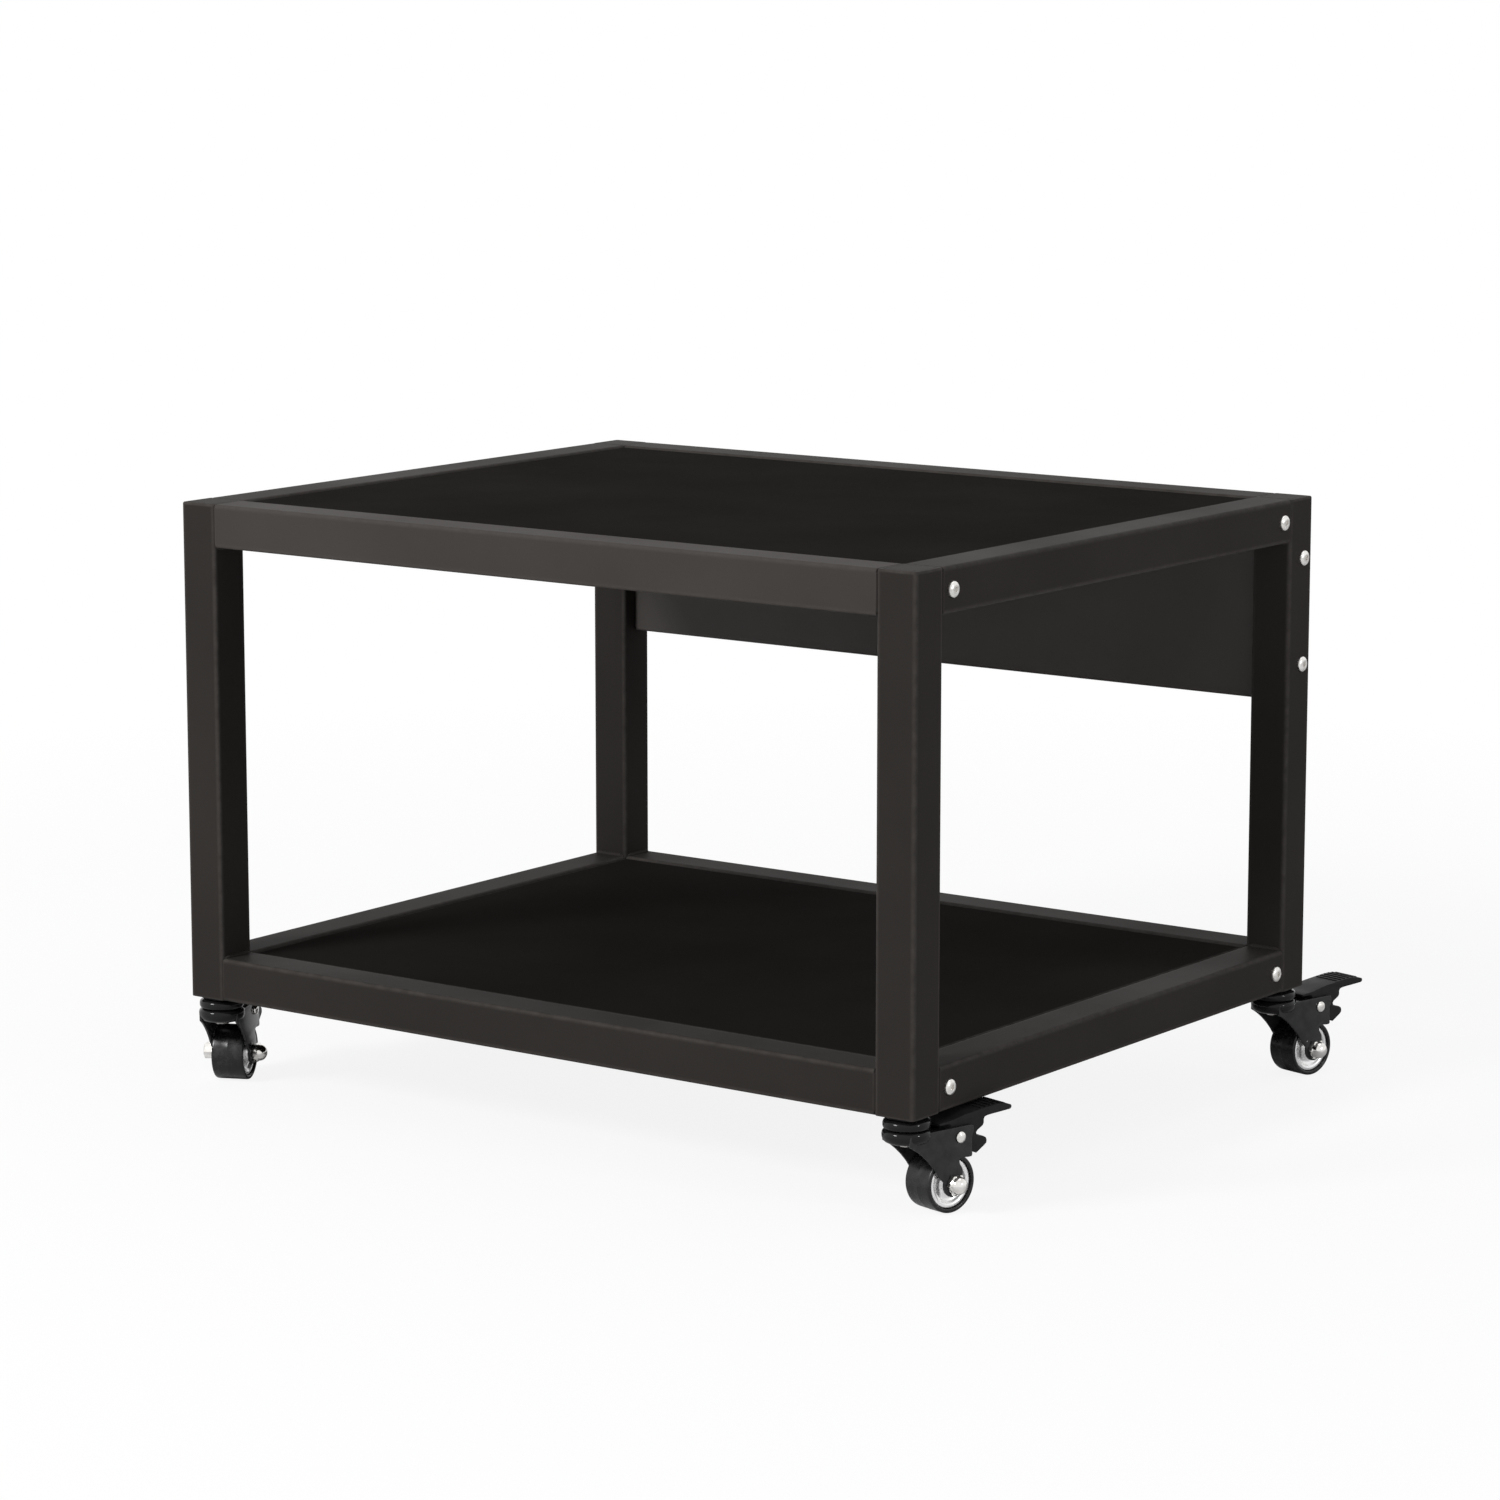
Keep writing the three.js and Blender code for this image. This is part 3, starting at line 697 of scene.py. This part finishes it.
# Foot inserts
# Black nylon plugs pressed into the open foot of each post. Only the flange shows, a low collar with
# round corners between the post and the caster.
flange_height = 1.6 * mm
flange_half = 10.7 * mm
flange_corner = 7.5 * mm
flange_round = 0.4 * mm
flange_round_steps = 3
flange_corner_steps = 8
flange_wear_and_highlight = 0.8
flange_top_wear_and_highlight = 0.3
plug_inset = 1.6 * mm
nylon_black = (0.009, 0.009, 0.0095, 1)
nylon_worn_and_highlight = (0.03, 0.03, 0.03, 1)
nylon_dust_amount = 0.08
nylon_specular = 0.08


def moulded_nylon(name, rough_low, rough_high):
    """Moulded black nylon with a fine spark-eroded grain."""
    material, tree, shader = new_material(name)
    patches = from_group(tree, cloudy_patches, "Patches", Scale=60.0)
    edges = from_group(tree, thin_edges_and_highlight, "Edges", Amount=0.5)
    dust = from_group(tree, settled_dust, "Dust", Amount=nylon_dust_amount)
    # Lighter on the edges: wear, and a painted highlight.
    colour = mixed(tree, edges, nylon_black, nylon_worn_and_highlight)
    tree.links.new(mixed(tree, dust, colour, dust_grey), shader.inputs["Base Color"])
    tree.links.new(levels(tree, patches, 0.0, 1.0, rough_low, rough_high), shader.inputs["Roughness"])
    raise_surface(tree, shader, grain(tree, 1900.0, 5200.0), strength=0.3, depth=0.00008)
    shader.inputs["Specular IOR Level"].default_value = nylon_specular
    return material


insert_nylon = moulded_nylon("insert_nylon", 0.42, 0.55)


def insert_loop(half, corner, height, wear_and_highlight=0.0):
    return rounded_loop(half, half, corner, height, wear_and_highlight, flange_corner_steps)


for corner in corner_names:
    low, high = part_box(f"{corner}_foot_insert")
    plug_half = flange_half - plug_inset
    loops = []
    for inset, drop in reversed(quarter_round(flange_round, flange_round_steps)):
        loops.append(insert_loop(flange_half - inset, flange_corner - inset, drop, flange_wear_and_highlight))
    loops.append(insert_loop(flange_half, flange_corner, flange_height, flange_top_wear_and_highlight))
    loops.append(insert_loop(plug_half, tube_corner / 2, flange_height))
    loops.append(insert_loop(plug_half, tube_corner / 2, high.z - low.z))
    work = bmesh.new()
    place = Matrix.Translation(((low.x + high.x) / 2, (low.y + high.y) / 2, low.z))
    skin(work, loops, place)
    insert = piece_from(work, f"{corner}_foot_insert_nylon", insert_nylon)
    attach(insert, "frame")
    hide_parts(f"{corner}_foot_insert")


# Casters
# Four light swivel casters, each placed by its own joints: the swivel's vertical line, and the
# wheel's axle behind it. Every part below is drawn with the swivel at zero and the trail along +X.
joint_spots = {joint["name"]: Vector(joint["pos_m"]) for joint in frame["joints"]}


def caster_place(name):
    swivel = joint_spots[f"{name}_turn"]
    trail = joint_spots[f"{name}_roll"] - swivel
    heading = Matrix.Rotation(math.atan2(trail.y, trail.x), 4, "Z")
    return Matrix.Translation((swivel.x, swivel.y, 0)) @ heading


def behind_swivel(name, joint):
    """How far behind the swivel's line a joint lies, and how high."""
    spot = joint_spots[f"{name}_{joint}"]
    away = spot - joint_spots[f"{name}_turn"]
    return Vector((math.hypot(away.x, away.y), 0, spot.z))


def across(spot):
    """Turns something built up the Z axis to point to the caster's right, at a place."""
    return Matrix.Translation(spot) @ Matrix.Rotation(math.pi / 2, 4, "X")


axle_place = behind_swivel("front_right", "roll")
pin_place = behind_swivel("front_right", "brake")


# Swivel stems
# A threaded stem goes up into the foot insert. A pressed race ring sits round it on top of the
# swivel head, in the fork's gloss black, and its lower end is riveted over below the head.
stem_radius = 4.0 * mm
stem_rivet_radius = 5.6 * mm
stem_rivet_height = 2.2 * mm
stem_rivet_profile = ((0.45, 0.0), (0.8, 0.14), (1.0, 0.6), (1.0, 1.0))
stem_thread_depth = 0.4 * mm
stem_thread_pitch = 1.2 * mm
stem_tip_radius = 3.2 * mm
race_low = 52.3 * mm
race_profile = (
    (4.1, 0.0), (12.3, 0.0), (13.1, 0.25), (13.65, 0.8), (13.93, 1.6), (14.0, 2.5), (13.95, 3.5),
    (13.7, 4.4), (13.2, 4.95), (12.4, 5.35), (11.2, 5.6), (9.4, 5.75), (4.1, 5.8),
)
stem_nickel = bright_nickel("stem_nickel", 0.16, 0.28)
coat_black = (0.0075, 0.0075, 0.008, 1)
coat_thin_and_highlight = (0.05, 0.05, 0.052, 1)
coat_roughness = (0.08, 0.16)
coat_specular = 0.2


def gloss_coat(name):
    """Gloss black dip coat over pressed steel, with a slow waviness from the press."""
    material, tree, shader = new_material(name)
    patches = from_group(tree, cloudy_patches, "Patches", Scale=70.0)
    edges = from_group(tree, thin_edges_and_highlight, "Edges", Amount=0.55)
    dust = from_group(tree, settled_dust, "Dust", Amount=0.18)
    # Lighter on the edges: where the coat lies thin, and a painted highlight.
    colour = mixed(tree, edges, coat_black, coat_thin_and_highlight)
    tree.links.new(mixed(tree, dust, colour, dust_grey), shader.inputs["Base Color"])
    tree.links.new(levels(tree, patches, 0.0, 1.0, *coat_roughness), shader.inputs["Roughness"])
    raise_surface(tree, shader, grain(tree, 260.0, 1500.0), strength=0.22, depth=0.0001)
    shader.inputs["Specular IOR Level"].default_value = coat_specular
    return material


caster_coat = gloss_coat("caster_coat")

for name in corner_names:
    low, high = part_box(f"{name}_swivel_stem")
    loops = [turned_loop(stem_rivet_radius * wide, low.z + stem_rivet_height * up)
             for wide, up in stem_rivet_profile]
    loops.append(turned_loop(stem_radius, low.z + stem_rivet_height))
    loops.append(turned_loop(stem_radius, race_low))
    threads = int((high.z - race_low) / stem_thread_pitch) - 1
    for turn in range(threads):
        base = race_low + turn * stem_thread_pitch
        loops.append(turned_loop(stem_radius - stem_thread_depth, base + stem_thread_pitch / 2))
        loops.append(turned_loop(stem_radius, base + stem_thread_pitch))
    loops.append(turned_loop(stem_tip_radius, high.z))
    work = bmesh.new()
    skin(work, loops, caster_place(name))
    stem = piece_from(work, f"{name}_swivel_stem_nickel", stem_nickel)
    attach(stem, "frame")
    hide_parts(f"{name}_swivel_stem")

    ring = [round_loop(radius * mm, race_low + height * mm) for radius, height in race_profile]
    work = bmesh.new()
    skin(work, ring + ring[:1], caster_place(name), False, False)
    race = piece_from(work, f"{name}_race_ring", caster_coat)
    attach(race, "frame")


# Forks
# Pressed from one 1.8 mm steel sheet and coated gloss black: a round swivel head that cups the ball
# race, a top web, and two cheeks that reach down and back to the axle.
fork_sheet = 1.8 * mm
cheek_gap = 21.6 * mm
cheek_round = 0.6 * mm
axle_boss_radius = 7.6 * mm
axle_boss_from = 166
axle_boss_to = 382
axle_boss_steps = 22
web_start = 7.2 * mm
web_end = 20.0 * mm
web_top = 50.5 * mm
web_round = 0.3 * mm
sharp_turn = math.radians(60)
edge_wear_and_highlight_turn = math.radians(15)
head_profile = (
    (4.3, 44.0), (9.6, 44.0), (11.6, 44.25), (13.0, 44.95), (13.9, 46.1), (14.4, 47.6), (14.5, 49.0),
    (14.35, 50.2), (13.9, 51.1), (13.1, 51.65), (12.0, 51.9), (10.4, 52.0), (4.3, 52.0),
)
cheek_face = ((-8.0, 44.0), (-5.4, 42.5), (-2.2, 40.4), (1.6, 37.4), (5.6, 33.6), (9.4, 29.3), (13.4, 23.6))
cheek_back = (
    (31.6, 25.8), (29.5, 29.0), (29.3, 31.2), (31.6, 32.2), (36.0, 31.7), (38.6, 31.8), (39.0, 33.2),
    (38.6, 36.6), (38.6, 43.0), (39.8, 46.6), (40.0, 48.8), (39.4, 50.1), (38.0, 50.5),
)
cheek_nose = ((-6.4, 50.5), (-7.6, 50.0), (-8.0, 48.8))


def plate(work, outline, thickness, centre_y, rounding, place):
    """A plate across Y from an outline in x and z, with rounded edges."""
    edge_layer = work.verts.layers.float.get("edge") or work.verts.layers.float.new("edge")
    shape = bmesh.new()
    front = [shape.verts.new((x, centre_y - thickness / 2, z)) for x, z in outline]
    back = [shape.verts.new((x, centre_y + thickness / 2, z)) for x, z in outline]
    shape.faces.new(front)
    shape.faces.new(reversed(back))
    for index in range(len(outline)):
        after = (index + 1) % len(outline)
        shape.faces.new((front[after], front[index], back[index], back[after]))
    bmesh.ops.recalc_face_normals(shape, faces=shape.faces)
    rims = [edge for edge in shape.edges if edge.calc_face_angle(0) > sharp_turn]
    bmesh.ops.bevel(shape, geom=rims, offset=rounding, segments=3, profile=0.5, affect="EDGES",
                    clamp_overlap=True)
    copies = {}
    for vertex in shape.verts:
        copies[vertex] = work.verts.new(place @ vertex.co)
        # Points on turned edges get the full share of edge wear and painted highlight.
        turned = max((edge.calc_face_angle(0) for edge in vertex.link_edges), default=0)
        copies[vertex][edge_layer] = 1.0 if turned > edge_wear_and_highlight_turn else 0.0
    for face in shape.faces:
        work.faces.new([copies[vertex] for vertex in face.verts])
    shape.free()


def arc(centre, radius, start, end, steps):
    """Points of an arc in x and z, angles in degrees from +X towards +Z."""
    angles = [math.radians(start + (end - start) * step / steps) for step in range(steps + 1)]
    return [(centre.x + radius * math.cos(angle), centre.z + radius * math.sin(angle)) for angle in angles]


def in_mm(points):
    return [(x * mm, z * mm) for x, z in points]


def rectangle(left, right, low, high):
    return [(left, low), (right, low), (right, high), (left, high)]


axle_boss = arc(axle_place, axle_boss_radius, axle_boss_from, axle_boss_to, axle_boss_steps)
cheek = in_mm(cheek_face) + axle_boss + in_mm(cheek_back + cheek_nose)
web = rectangle(web_start, web_end, web_top - fork_sheet, web_top)

for name in corner_names:
    place = caster_place(name)
    work = bmesh.new()
    head = [round_loop(radius * mm, height * mm) for radius, height in head_profile]
    skin(work, head + head[:1], place, False, False)
    for sign in (-1, 1):
        plate(work, cheek, fork_sheet, sign * (cheek_gap + fork_sheet) / 2, cheek_round, place)
    plate(work, web, cheek_gap + fork_sheet, 0, web_round, place)
    fork = piece_from(work, f"{name}_fork_pressing", caster_coat)
    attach(fork, f"{name}_swivel")
    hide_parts(f"{name}_fork")


# Wheel hubs
# A bright zinc-plated disc on each side of the wheel, dished inside a rolled rim, with a raised boss
# for the axle. The two discs and the core between them turn as one.
hub_sides = 64
hub_half_profile = (
    (3.3, 10.3), (5.3, 10.4), (5.8, 10.2), (6.0, 9.8), (6.15, 7.7), (6.7, 7.2), (8.0, 7.05), (9.7, 7.15),
    (10.8, 7.6), (11.5, 8.4), (12.0, 9.0), (12.7, 9.35), (13.6, 9.35), (14.3, 9.1), (14.6, 8.5),
)
zinc_bright = (0.95, 0.95, 0.945, 1)
zinc_dull = (0.86, 0.86, 0.855, 1)
zinc_roughness = (0.2, 0.32)
zinc_metallic = 0.8
turning_pitch = 0.3 * mm
turning_share = 0.5


def zinc_plate(name):
    """Bright zinc plate, lightly clouded, with fine turning rings round the axle."""
    material, tree, shader = new_material(name)
    patches = from_group(tree, cloudy_patches, "Patches", Scale=130.0)
    tree.links.new(mixed(tree, patches, zinc_bright, zinc_dull), shader.inputs["Base Color"])
    tree.links.new(levels(tree, patches, 0.0, 1.0, *zinc_roughness), shader.inputs["Roughness"])
    reach = node(tree, "ShaderNodeAttribute", attribute_name="turning").outputs["Fac"]
    phase = times(tree, reach, 2 * math.pi / turning_pitch)
    rings = node(tree, "ShaderNodeMath", {0: phase}, operation="SINE").outputs[0]
    both = {0: rings, 1: turning_share, 2: grain(tree, 900.0, 3600.0)}
    height = node(tree, "ShaderNodeMath", both, operation="MULTIPLY_ADD").outputs[0]
    raise_surface(tree, shader, height, strength=0.1, depth=0.00004)
    shader.inputs["Metallic"].default_value = zinc_metallic
    return material


def keep_turning(work, place):
    """Keeps on every point how far it lies from its part's axis, for the turning rings."""
    layer = work.verts.layers.float.new("turning")
    back = place.inverted()
    for vertex in work.verts:
        spot = back @ vertex.co
        vertex[layer] = math.hypot(spot.x, spot.y)


hub_silver = zinc_plate("hub_silver")


def wheel_loops(half_profile, sides):
    """A wheel part up the Z axis, from the profile that both its sides have."""
    lower = [(radius, -height) for radius, height in half_profile]
    whole = lower + list(reversed(half_profile))
    loops = [round_loop(radius * mm, height * mm, 0.0, sides) for radius, height in whole]
    return loops + loops[:1]


for name in corner_names:
    work = bmesh.new()
    place = caster_place(name) @ across(axle_place)
    skin(work, wheel_loops(hub_half_profile, hub_sides), place, False, False)
    keep_turning(work, place)
    hub = piece_from(work, f"{name}_wheel_hub_disc", hub_silver)
    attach(hub, f"{name}_wheel")
    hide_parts(f"{name}_wheel_hub")


# Tyres
# Smooth black polyurethane moulded round the hub, flat across the tread with tight round shoulders,
# and a fine parting line where the two halves of the mould met.
tyre_sides = 72
tyre_half_profile = (
    (14.9, 9.4), (15.0, 10.0), (15.3, 10.32), (15.8, 10.4), (16.6, 10.38), (17.05, 10.2), (17.28, 9.88),
    (17.4, 9.4), (17.44, 8.6), (17.45, 4.5), (17.45, 0.3), (17.5, 0.0),
)
tyre_black = (0.009, 0.009, 0.0095, 1)
tyre_scuffed = (0.04, 0.039, 0.038, 1)
tyre_roughness = (0.24, 0.42)
tyre_specular = 0.34
scuff_scale = 190.0
scuff_contrast = (0.5, 0.8, 0.0, 0.5)


def polyurethane(name):
    """Glossy tyre with scuffs and a fine moulding grain."""
    material, tree, shader = new_material(name)
    scuffs = levels(tree, noise(tree, scuff_scale, 6.0), *scuff_contrast)
    dust = from_group(tree, settled_dust, "Dust", Amount=0.2)
    colour = mixed(tree, scuffs, tyre_black, tyre_scuffed)
    tree.links.new(mixed(tree, dust, colour, dust_grey), shader.inputs["Base Color"])
    tree.links.new(levels(tree, scuffs, 0.0, 0.5, *tyre_roughness), shader.inputs["Roughness"])
    raise_surface(tree, shader, grain(tree, 420.0, 2600.0), strength=0.22, depth=0.0001)
    shader.inputs["Specular IOR Level"].default_value = tyre_specular
    return material


tyre_gloss = polyurethane("tyre_gloss")

for name in corner_names:
    work = bmesh.new()
    place = caster_place(name) @ across(axle_place)
    skin(work, wheel_loops(tyre_half_profile, tyre_sides), place, False, False)
    tyre = piece_from(work, f"{name}_tyre_tread", tyre_gloss)
    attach(tyre, f"{name}_wheel")
    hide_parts(f"{name}_tyre")


# Axle bolts
# A bright bolt through both cheeks and the hub. Its hexagon head is on the left, and a deep domed
# nut closes it on the right.
axle_radius = 3.0 * mm
seat_gap = 0.3 * mm
axle_seat = cheek_gap / 2 + fork_sheet + seat_gap
dome_nut_radius = 6.4 * mm
dome_nut_length = 8.5 * mm
dome_nut_hexagon_share = 0.42
dome_foot_share = 0.96
dome_tip_share = 0.06
dome_steps = 8
bolt_head_radius = 5.5 * mm
bolt_head_height = 6.5 * mm
bolt_face_share = 0.9
nut_edge = 0.5 * mm
axle_nickel = bright_nickel("axle_nickel", 0.07, 0.16)


def axle_loops():
    nut_flat = dome_nut_radius * hexagon_flat_share
    head_flat = bolt_head_radius * hexagon_flat_share
    hexagon_top = axle_seat + dome_nut_length * dome_nut_hexagon_share
    dome_rise = axle_seat + dome_nut_length - hexagon_top
    quarter = [step / dome_steps * math.pi / 2 for step in range(dome_steps)]
    dome = [(math.cos(turn) * nut_flat * dome_foot_share, hexagon_top + math.sin(turn) * dome_rise)
            for turn in quarter]
    return [
        turned_loop(head_flat * bolt_face_share, -axle_seat - bolt_head_height),
        hexagon_loop(bolt_head_radius, -axle_seat - bolt_head_height + nut_edge),
        hexagon_loop(bolt_head_radius, -axle_seat),
        turned_loop(axle_radius, -axle_seat),
        turned_loop(axle_radius, axle_seat),
        turned_loop(nut_flat, axle_seat),
        hexagon_loop(dome_nut_radius, axle_seat + nut_edge),
        hexagon_loop(dome_nut_radius, hexagon_top - nut_edge),
        *[turned_loop(radius, height) for radius, height in dome],
        turned_loop(nut_flat * dome_tip_share, axle_seat + dome_nut_length),
    ]


for name in corner_names:
    work = bmesh.new()
    skin(work, axle_loops(), caster_place(name) @ across(axle_place))
    bolt = piece_from(work, f"{name}_axle_bolt_nickel", axle_nickel)
    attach(bolt, f"{name}_swivel")
    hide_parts(f"{name}_axle_bolt")


# Brake pins
# A plain pin carries the pedal between the cheeks, riveted over at both ends into low round heads.
pin_radius = 2.0 * mm
pin_head_radius = 3.45 * mm
pin_head_height = 1.8 * mm
pin_head_side = 0.15
pin_tip_share = 0.08
pin_sides = 32
pin_dome_steps = 6


def pin_loops():
    quarter = [step / pin_dome_steps * math.pi / 2 for step in range(pin_dome_steps)]
    rise = [(math.cos(turn), pin_head_side + (1 - pin_head_side) * math.sin(turn)) for turn in quarter]
    head = [(pin_head_radius * wide, axle_seat + pin_head_height * high) for wide, high in rise]
    side = [(pin_radius, axle_seat), (pin_head_radius, axle_seat), *head]
    side.append((pin_head_radius * pin_tip_share, axle_seat + pin_head_height))
    points = [(radius, -height) for radius, height in reversed(side)] + side
    return [round_loop(radius, height, 0, pin_sides) for radius, height in points]


for name in corner_names:
    work = bmesh.new()
    skin(work, pin_loops(), caster_place(name) @ across(pin_place))
    pin = piece_from(work, f"{name}_brake_pin_nickel", axle_nickel)
    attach(pin, f"{name}_swivel")
    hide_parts(f"{name}_brake_pin")


# Brake pedals
# Moulded black nylon levers between the cheeks: a foot plate with ridges above, a release lip
# below it, and a shoe that presses on the tyre.
pedal_width = 20.6 * mm
pedal_round = 0.6 * mm
pedal_hub_radius = 5.0 * mm
ridge_height = 0.5 * mm
ridge_width = 1.2 * mm
ridge_round = 0.35 * mm
ridge_places = (48.5, 52.0, 55.5, 59.0, 62.5, 66.0)
ridge_side_gap = 2 * pedal_round
pedal_hub_steps = 6
pedal_top_line = (
    (15.5, 53.0), (15.8, 53.6), (16.6, 53.9), (21.0, 54.1), (26.0, 54.6), (30.0, 55.4), (33.5, 56.1),
    (37.3, 56.7), (41.0, 57.1), (45.0, 57.5), (48.8, 57.9), (53.0, 58.3), (56.5, 58.6), (60.0, 58.7),
    (63.0, 58.5), (66.0, 58.0), (68.4, 57.5), (70.0, 57.0), (70.6, 56.3),
)
pedal_under_line = (
    (70.5, 55.2), (69.6, 54.4), (63.0, 54.0), (55.0, 53.6), (51.8, 53.3), (50.1, 52.8), (49.4, 51.6),
    (49.4, 49.4), (48.6, 48.0), (46.6, 46.9), (44.6, 45.8), (43.6, 44.6), (44.2, 43.0), (46.2, 42.1),
    (49.4, 41.5), (51.1, 40.5), (51.7, 38.9), (51.5, 37.4), (50.0, 36.2), (47.0, 34.4), (43.8, 32.5),
    (40.2, 33.9), (36.7, 35.1), (34.6, 37.4), (32.4, 39.3),
)
pedal_heel_line = ((24.7, 50.4), (24.0, 51.9), (22.6, 52.5), (16.4, 52.5), (15.7, 52.8))
pedal_nylon = moulded_nylon("pedal_nylon", 0.34, 0.46)
hub_arc = arc(pin_place, pedal_hub_radius, 270, 180, pedal_hub_steps)
pedal_outline = in_mm(pedal_top_line + pedal_under_line) + hub_arc + in_mm(pedal_heel_line)


def pedal_height(x):
    """The height of the foot plate's top at a place along it."""
    for (x0, z0), (x1, z1) in zip(pedal_top_line, pedal_top_line[1:]):
        if x0 <= x <= x1:
            return z0 + (z1 - z0) * (x - x0) / (x1 - x0)
    return pedal_top_line[-1][1]


for name in corner_names:
    place = caster_place(name)
    work = bmesh.new()
    plate(work, pedal_outline, pedal_width, 0, pedal_round, place)
    for x in ridge_places:
        middle = Vector((x, 0, pedal_height(x))) * mm
        ridge = rectangle(middle.x - ridge_width / 2, middle.x + ridge_width / 2,
                          middle.z - ridge_height, middle.z + ridge_height)
        plate(work, ridge, pedal_width - 2 * ridge_side_gap, 0, ridge_round, place)
    pedal = piece_from(work, f"{name}_brake_pedal_nylon", pedal_nylon)
    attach(pedal, f"{name}_pedal")
    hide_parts(f"{name}_brake_pedal")


# Floor and backdrop
# A pale seamless floor. To the camera it is nearly all plain white, and keeps only the rack's soft
# shadow; to everything else it is a pale matt floor.
floor_half = 14.0
floor_pale = (0.82, 0.82, 0.82, 1)
floor_roughness = 0.9
plain_white = (1, 1, 1, 1)
studio_grey = (0.42, 0.42, 0.43, 1)
shadow_share = 0.12
shadow_fade_start = 0.55
shadow_fade_end = 1.5

floor_mesh = bpy.data.meshes.new("floor")
corners = [(x * floor_half, y * floor_half, 0) for x, y in ((-1, -1), (1, -1), (1, 1), (-1, 1))]
floor_mesh.from_pydata(corners, [], [(0, 1, 2, 3)])
floor = bpy.data.objects.new("floor", floor_mesh)
scene.collection.objects.link(floor)
material, tree, shader = new_material("floor_white")
shader.inputs["Base Color"].default_value = floor_pale
shader.inputs["Roughness"].default_value = floor_roughness
white = node(tree, "ShaderNodeEmission", {"Color": plain_white, "Strength": 1.0})
place = node(tree, "ShaderNodeTexCoord").outputs["Object"]
distance = node(tree, "ShaderNodeVectorMath", {0: place}, operation="LENGTH").outputs["Value"]
keeps = levels(tree, distance, shadow_fade_start, shadow_fade_end, shadow_share, 0.0)
seen = node(tree, "ShaderNodeMixShader", {0: keeps, 1: white.outputs[0], 2: shader.outputs[0]})
ray = node(tree, "ShaderNodeLightPath")
by_ray = node(tree, "ShaderNodeMixShader",
              {0: ray.outputs["Is Camera Ray"], 1: shader.outputs[0], 2: seen.outputs[0]})
tree.links.new(by_ray.outputs[0], tree.nodes["Material Output"].inputs["Surface"])
floor_mesh.materials.append(material)
floor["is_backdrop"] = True

world = bpy.data.worlds.new("studio")
scene.world = world
world.use_nodes = True
tree = world.node_tree
background = tree.nodes["Background"]
background.inputs["Color"].default_value = studio_grey
bright = node(tree, "ShaderNodeBackground", {"Color": plain_white, "Strength": 1.0})
ray = node(tree, "ShaderNodeLightPath")
either = node(tree, "ShaderNodeMath",
              {0: ray.outputs["Is Camera Ray"], 1: ray.outputs["Is Glossy Ray"]}, operation="MAXIMUM")
sky = node(tree, "ShaderNodeMixShader",
           {0: either.outputs[0], 1: background.outputs[0], 2: bright.outputs[0]})
tree.links.new(sky.outputs[0], tree.nodes["World Output"].inputs["Surface"])


# Lights
# Three soft lamps: one high in front on the left, one lower on the right, and a faint one above.
# Each has its place, its size across and its power in watts.
lamps = {
    "front_lamp": ((-1.0, -2.6, 1.9), 0.9, 76.0),
    "right_lamp": ((2.6, -0.1, 1.1), 0.34, 13.0),
    "top_lamp": ((0.2, 0.4, 2.6), 1.8, 8.0),
}
for name, (spot, size, power) in lamps.items():
    lamp_data = bpy.data.lights.new(name, "AREA")
    lamp_data.shape = "DISK"
    lamp_data.size = size
    lamp_data.energy = power
    lamp = bpy.data.objects.new(name, lamp_data)
    lamp.location = spot
    lamp.rotation_euler = (frame_centre - Vector(spot)).to_track_quat("-Z", "Y").to_euler()
    scene.collection.objects.link(lamp)


low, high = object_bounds()
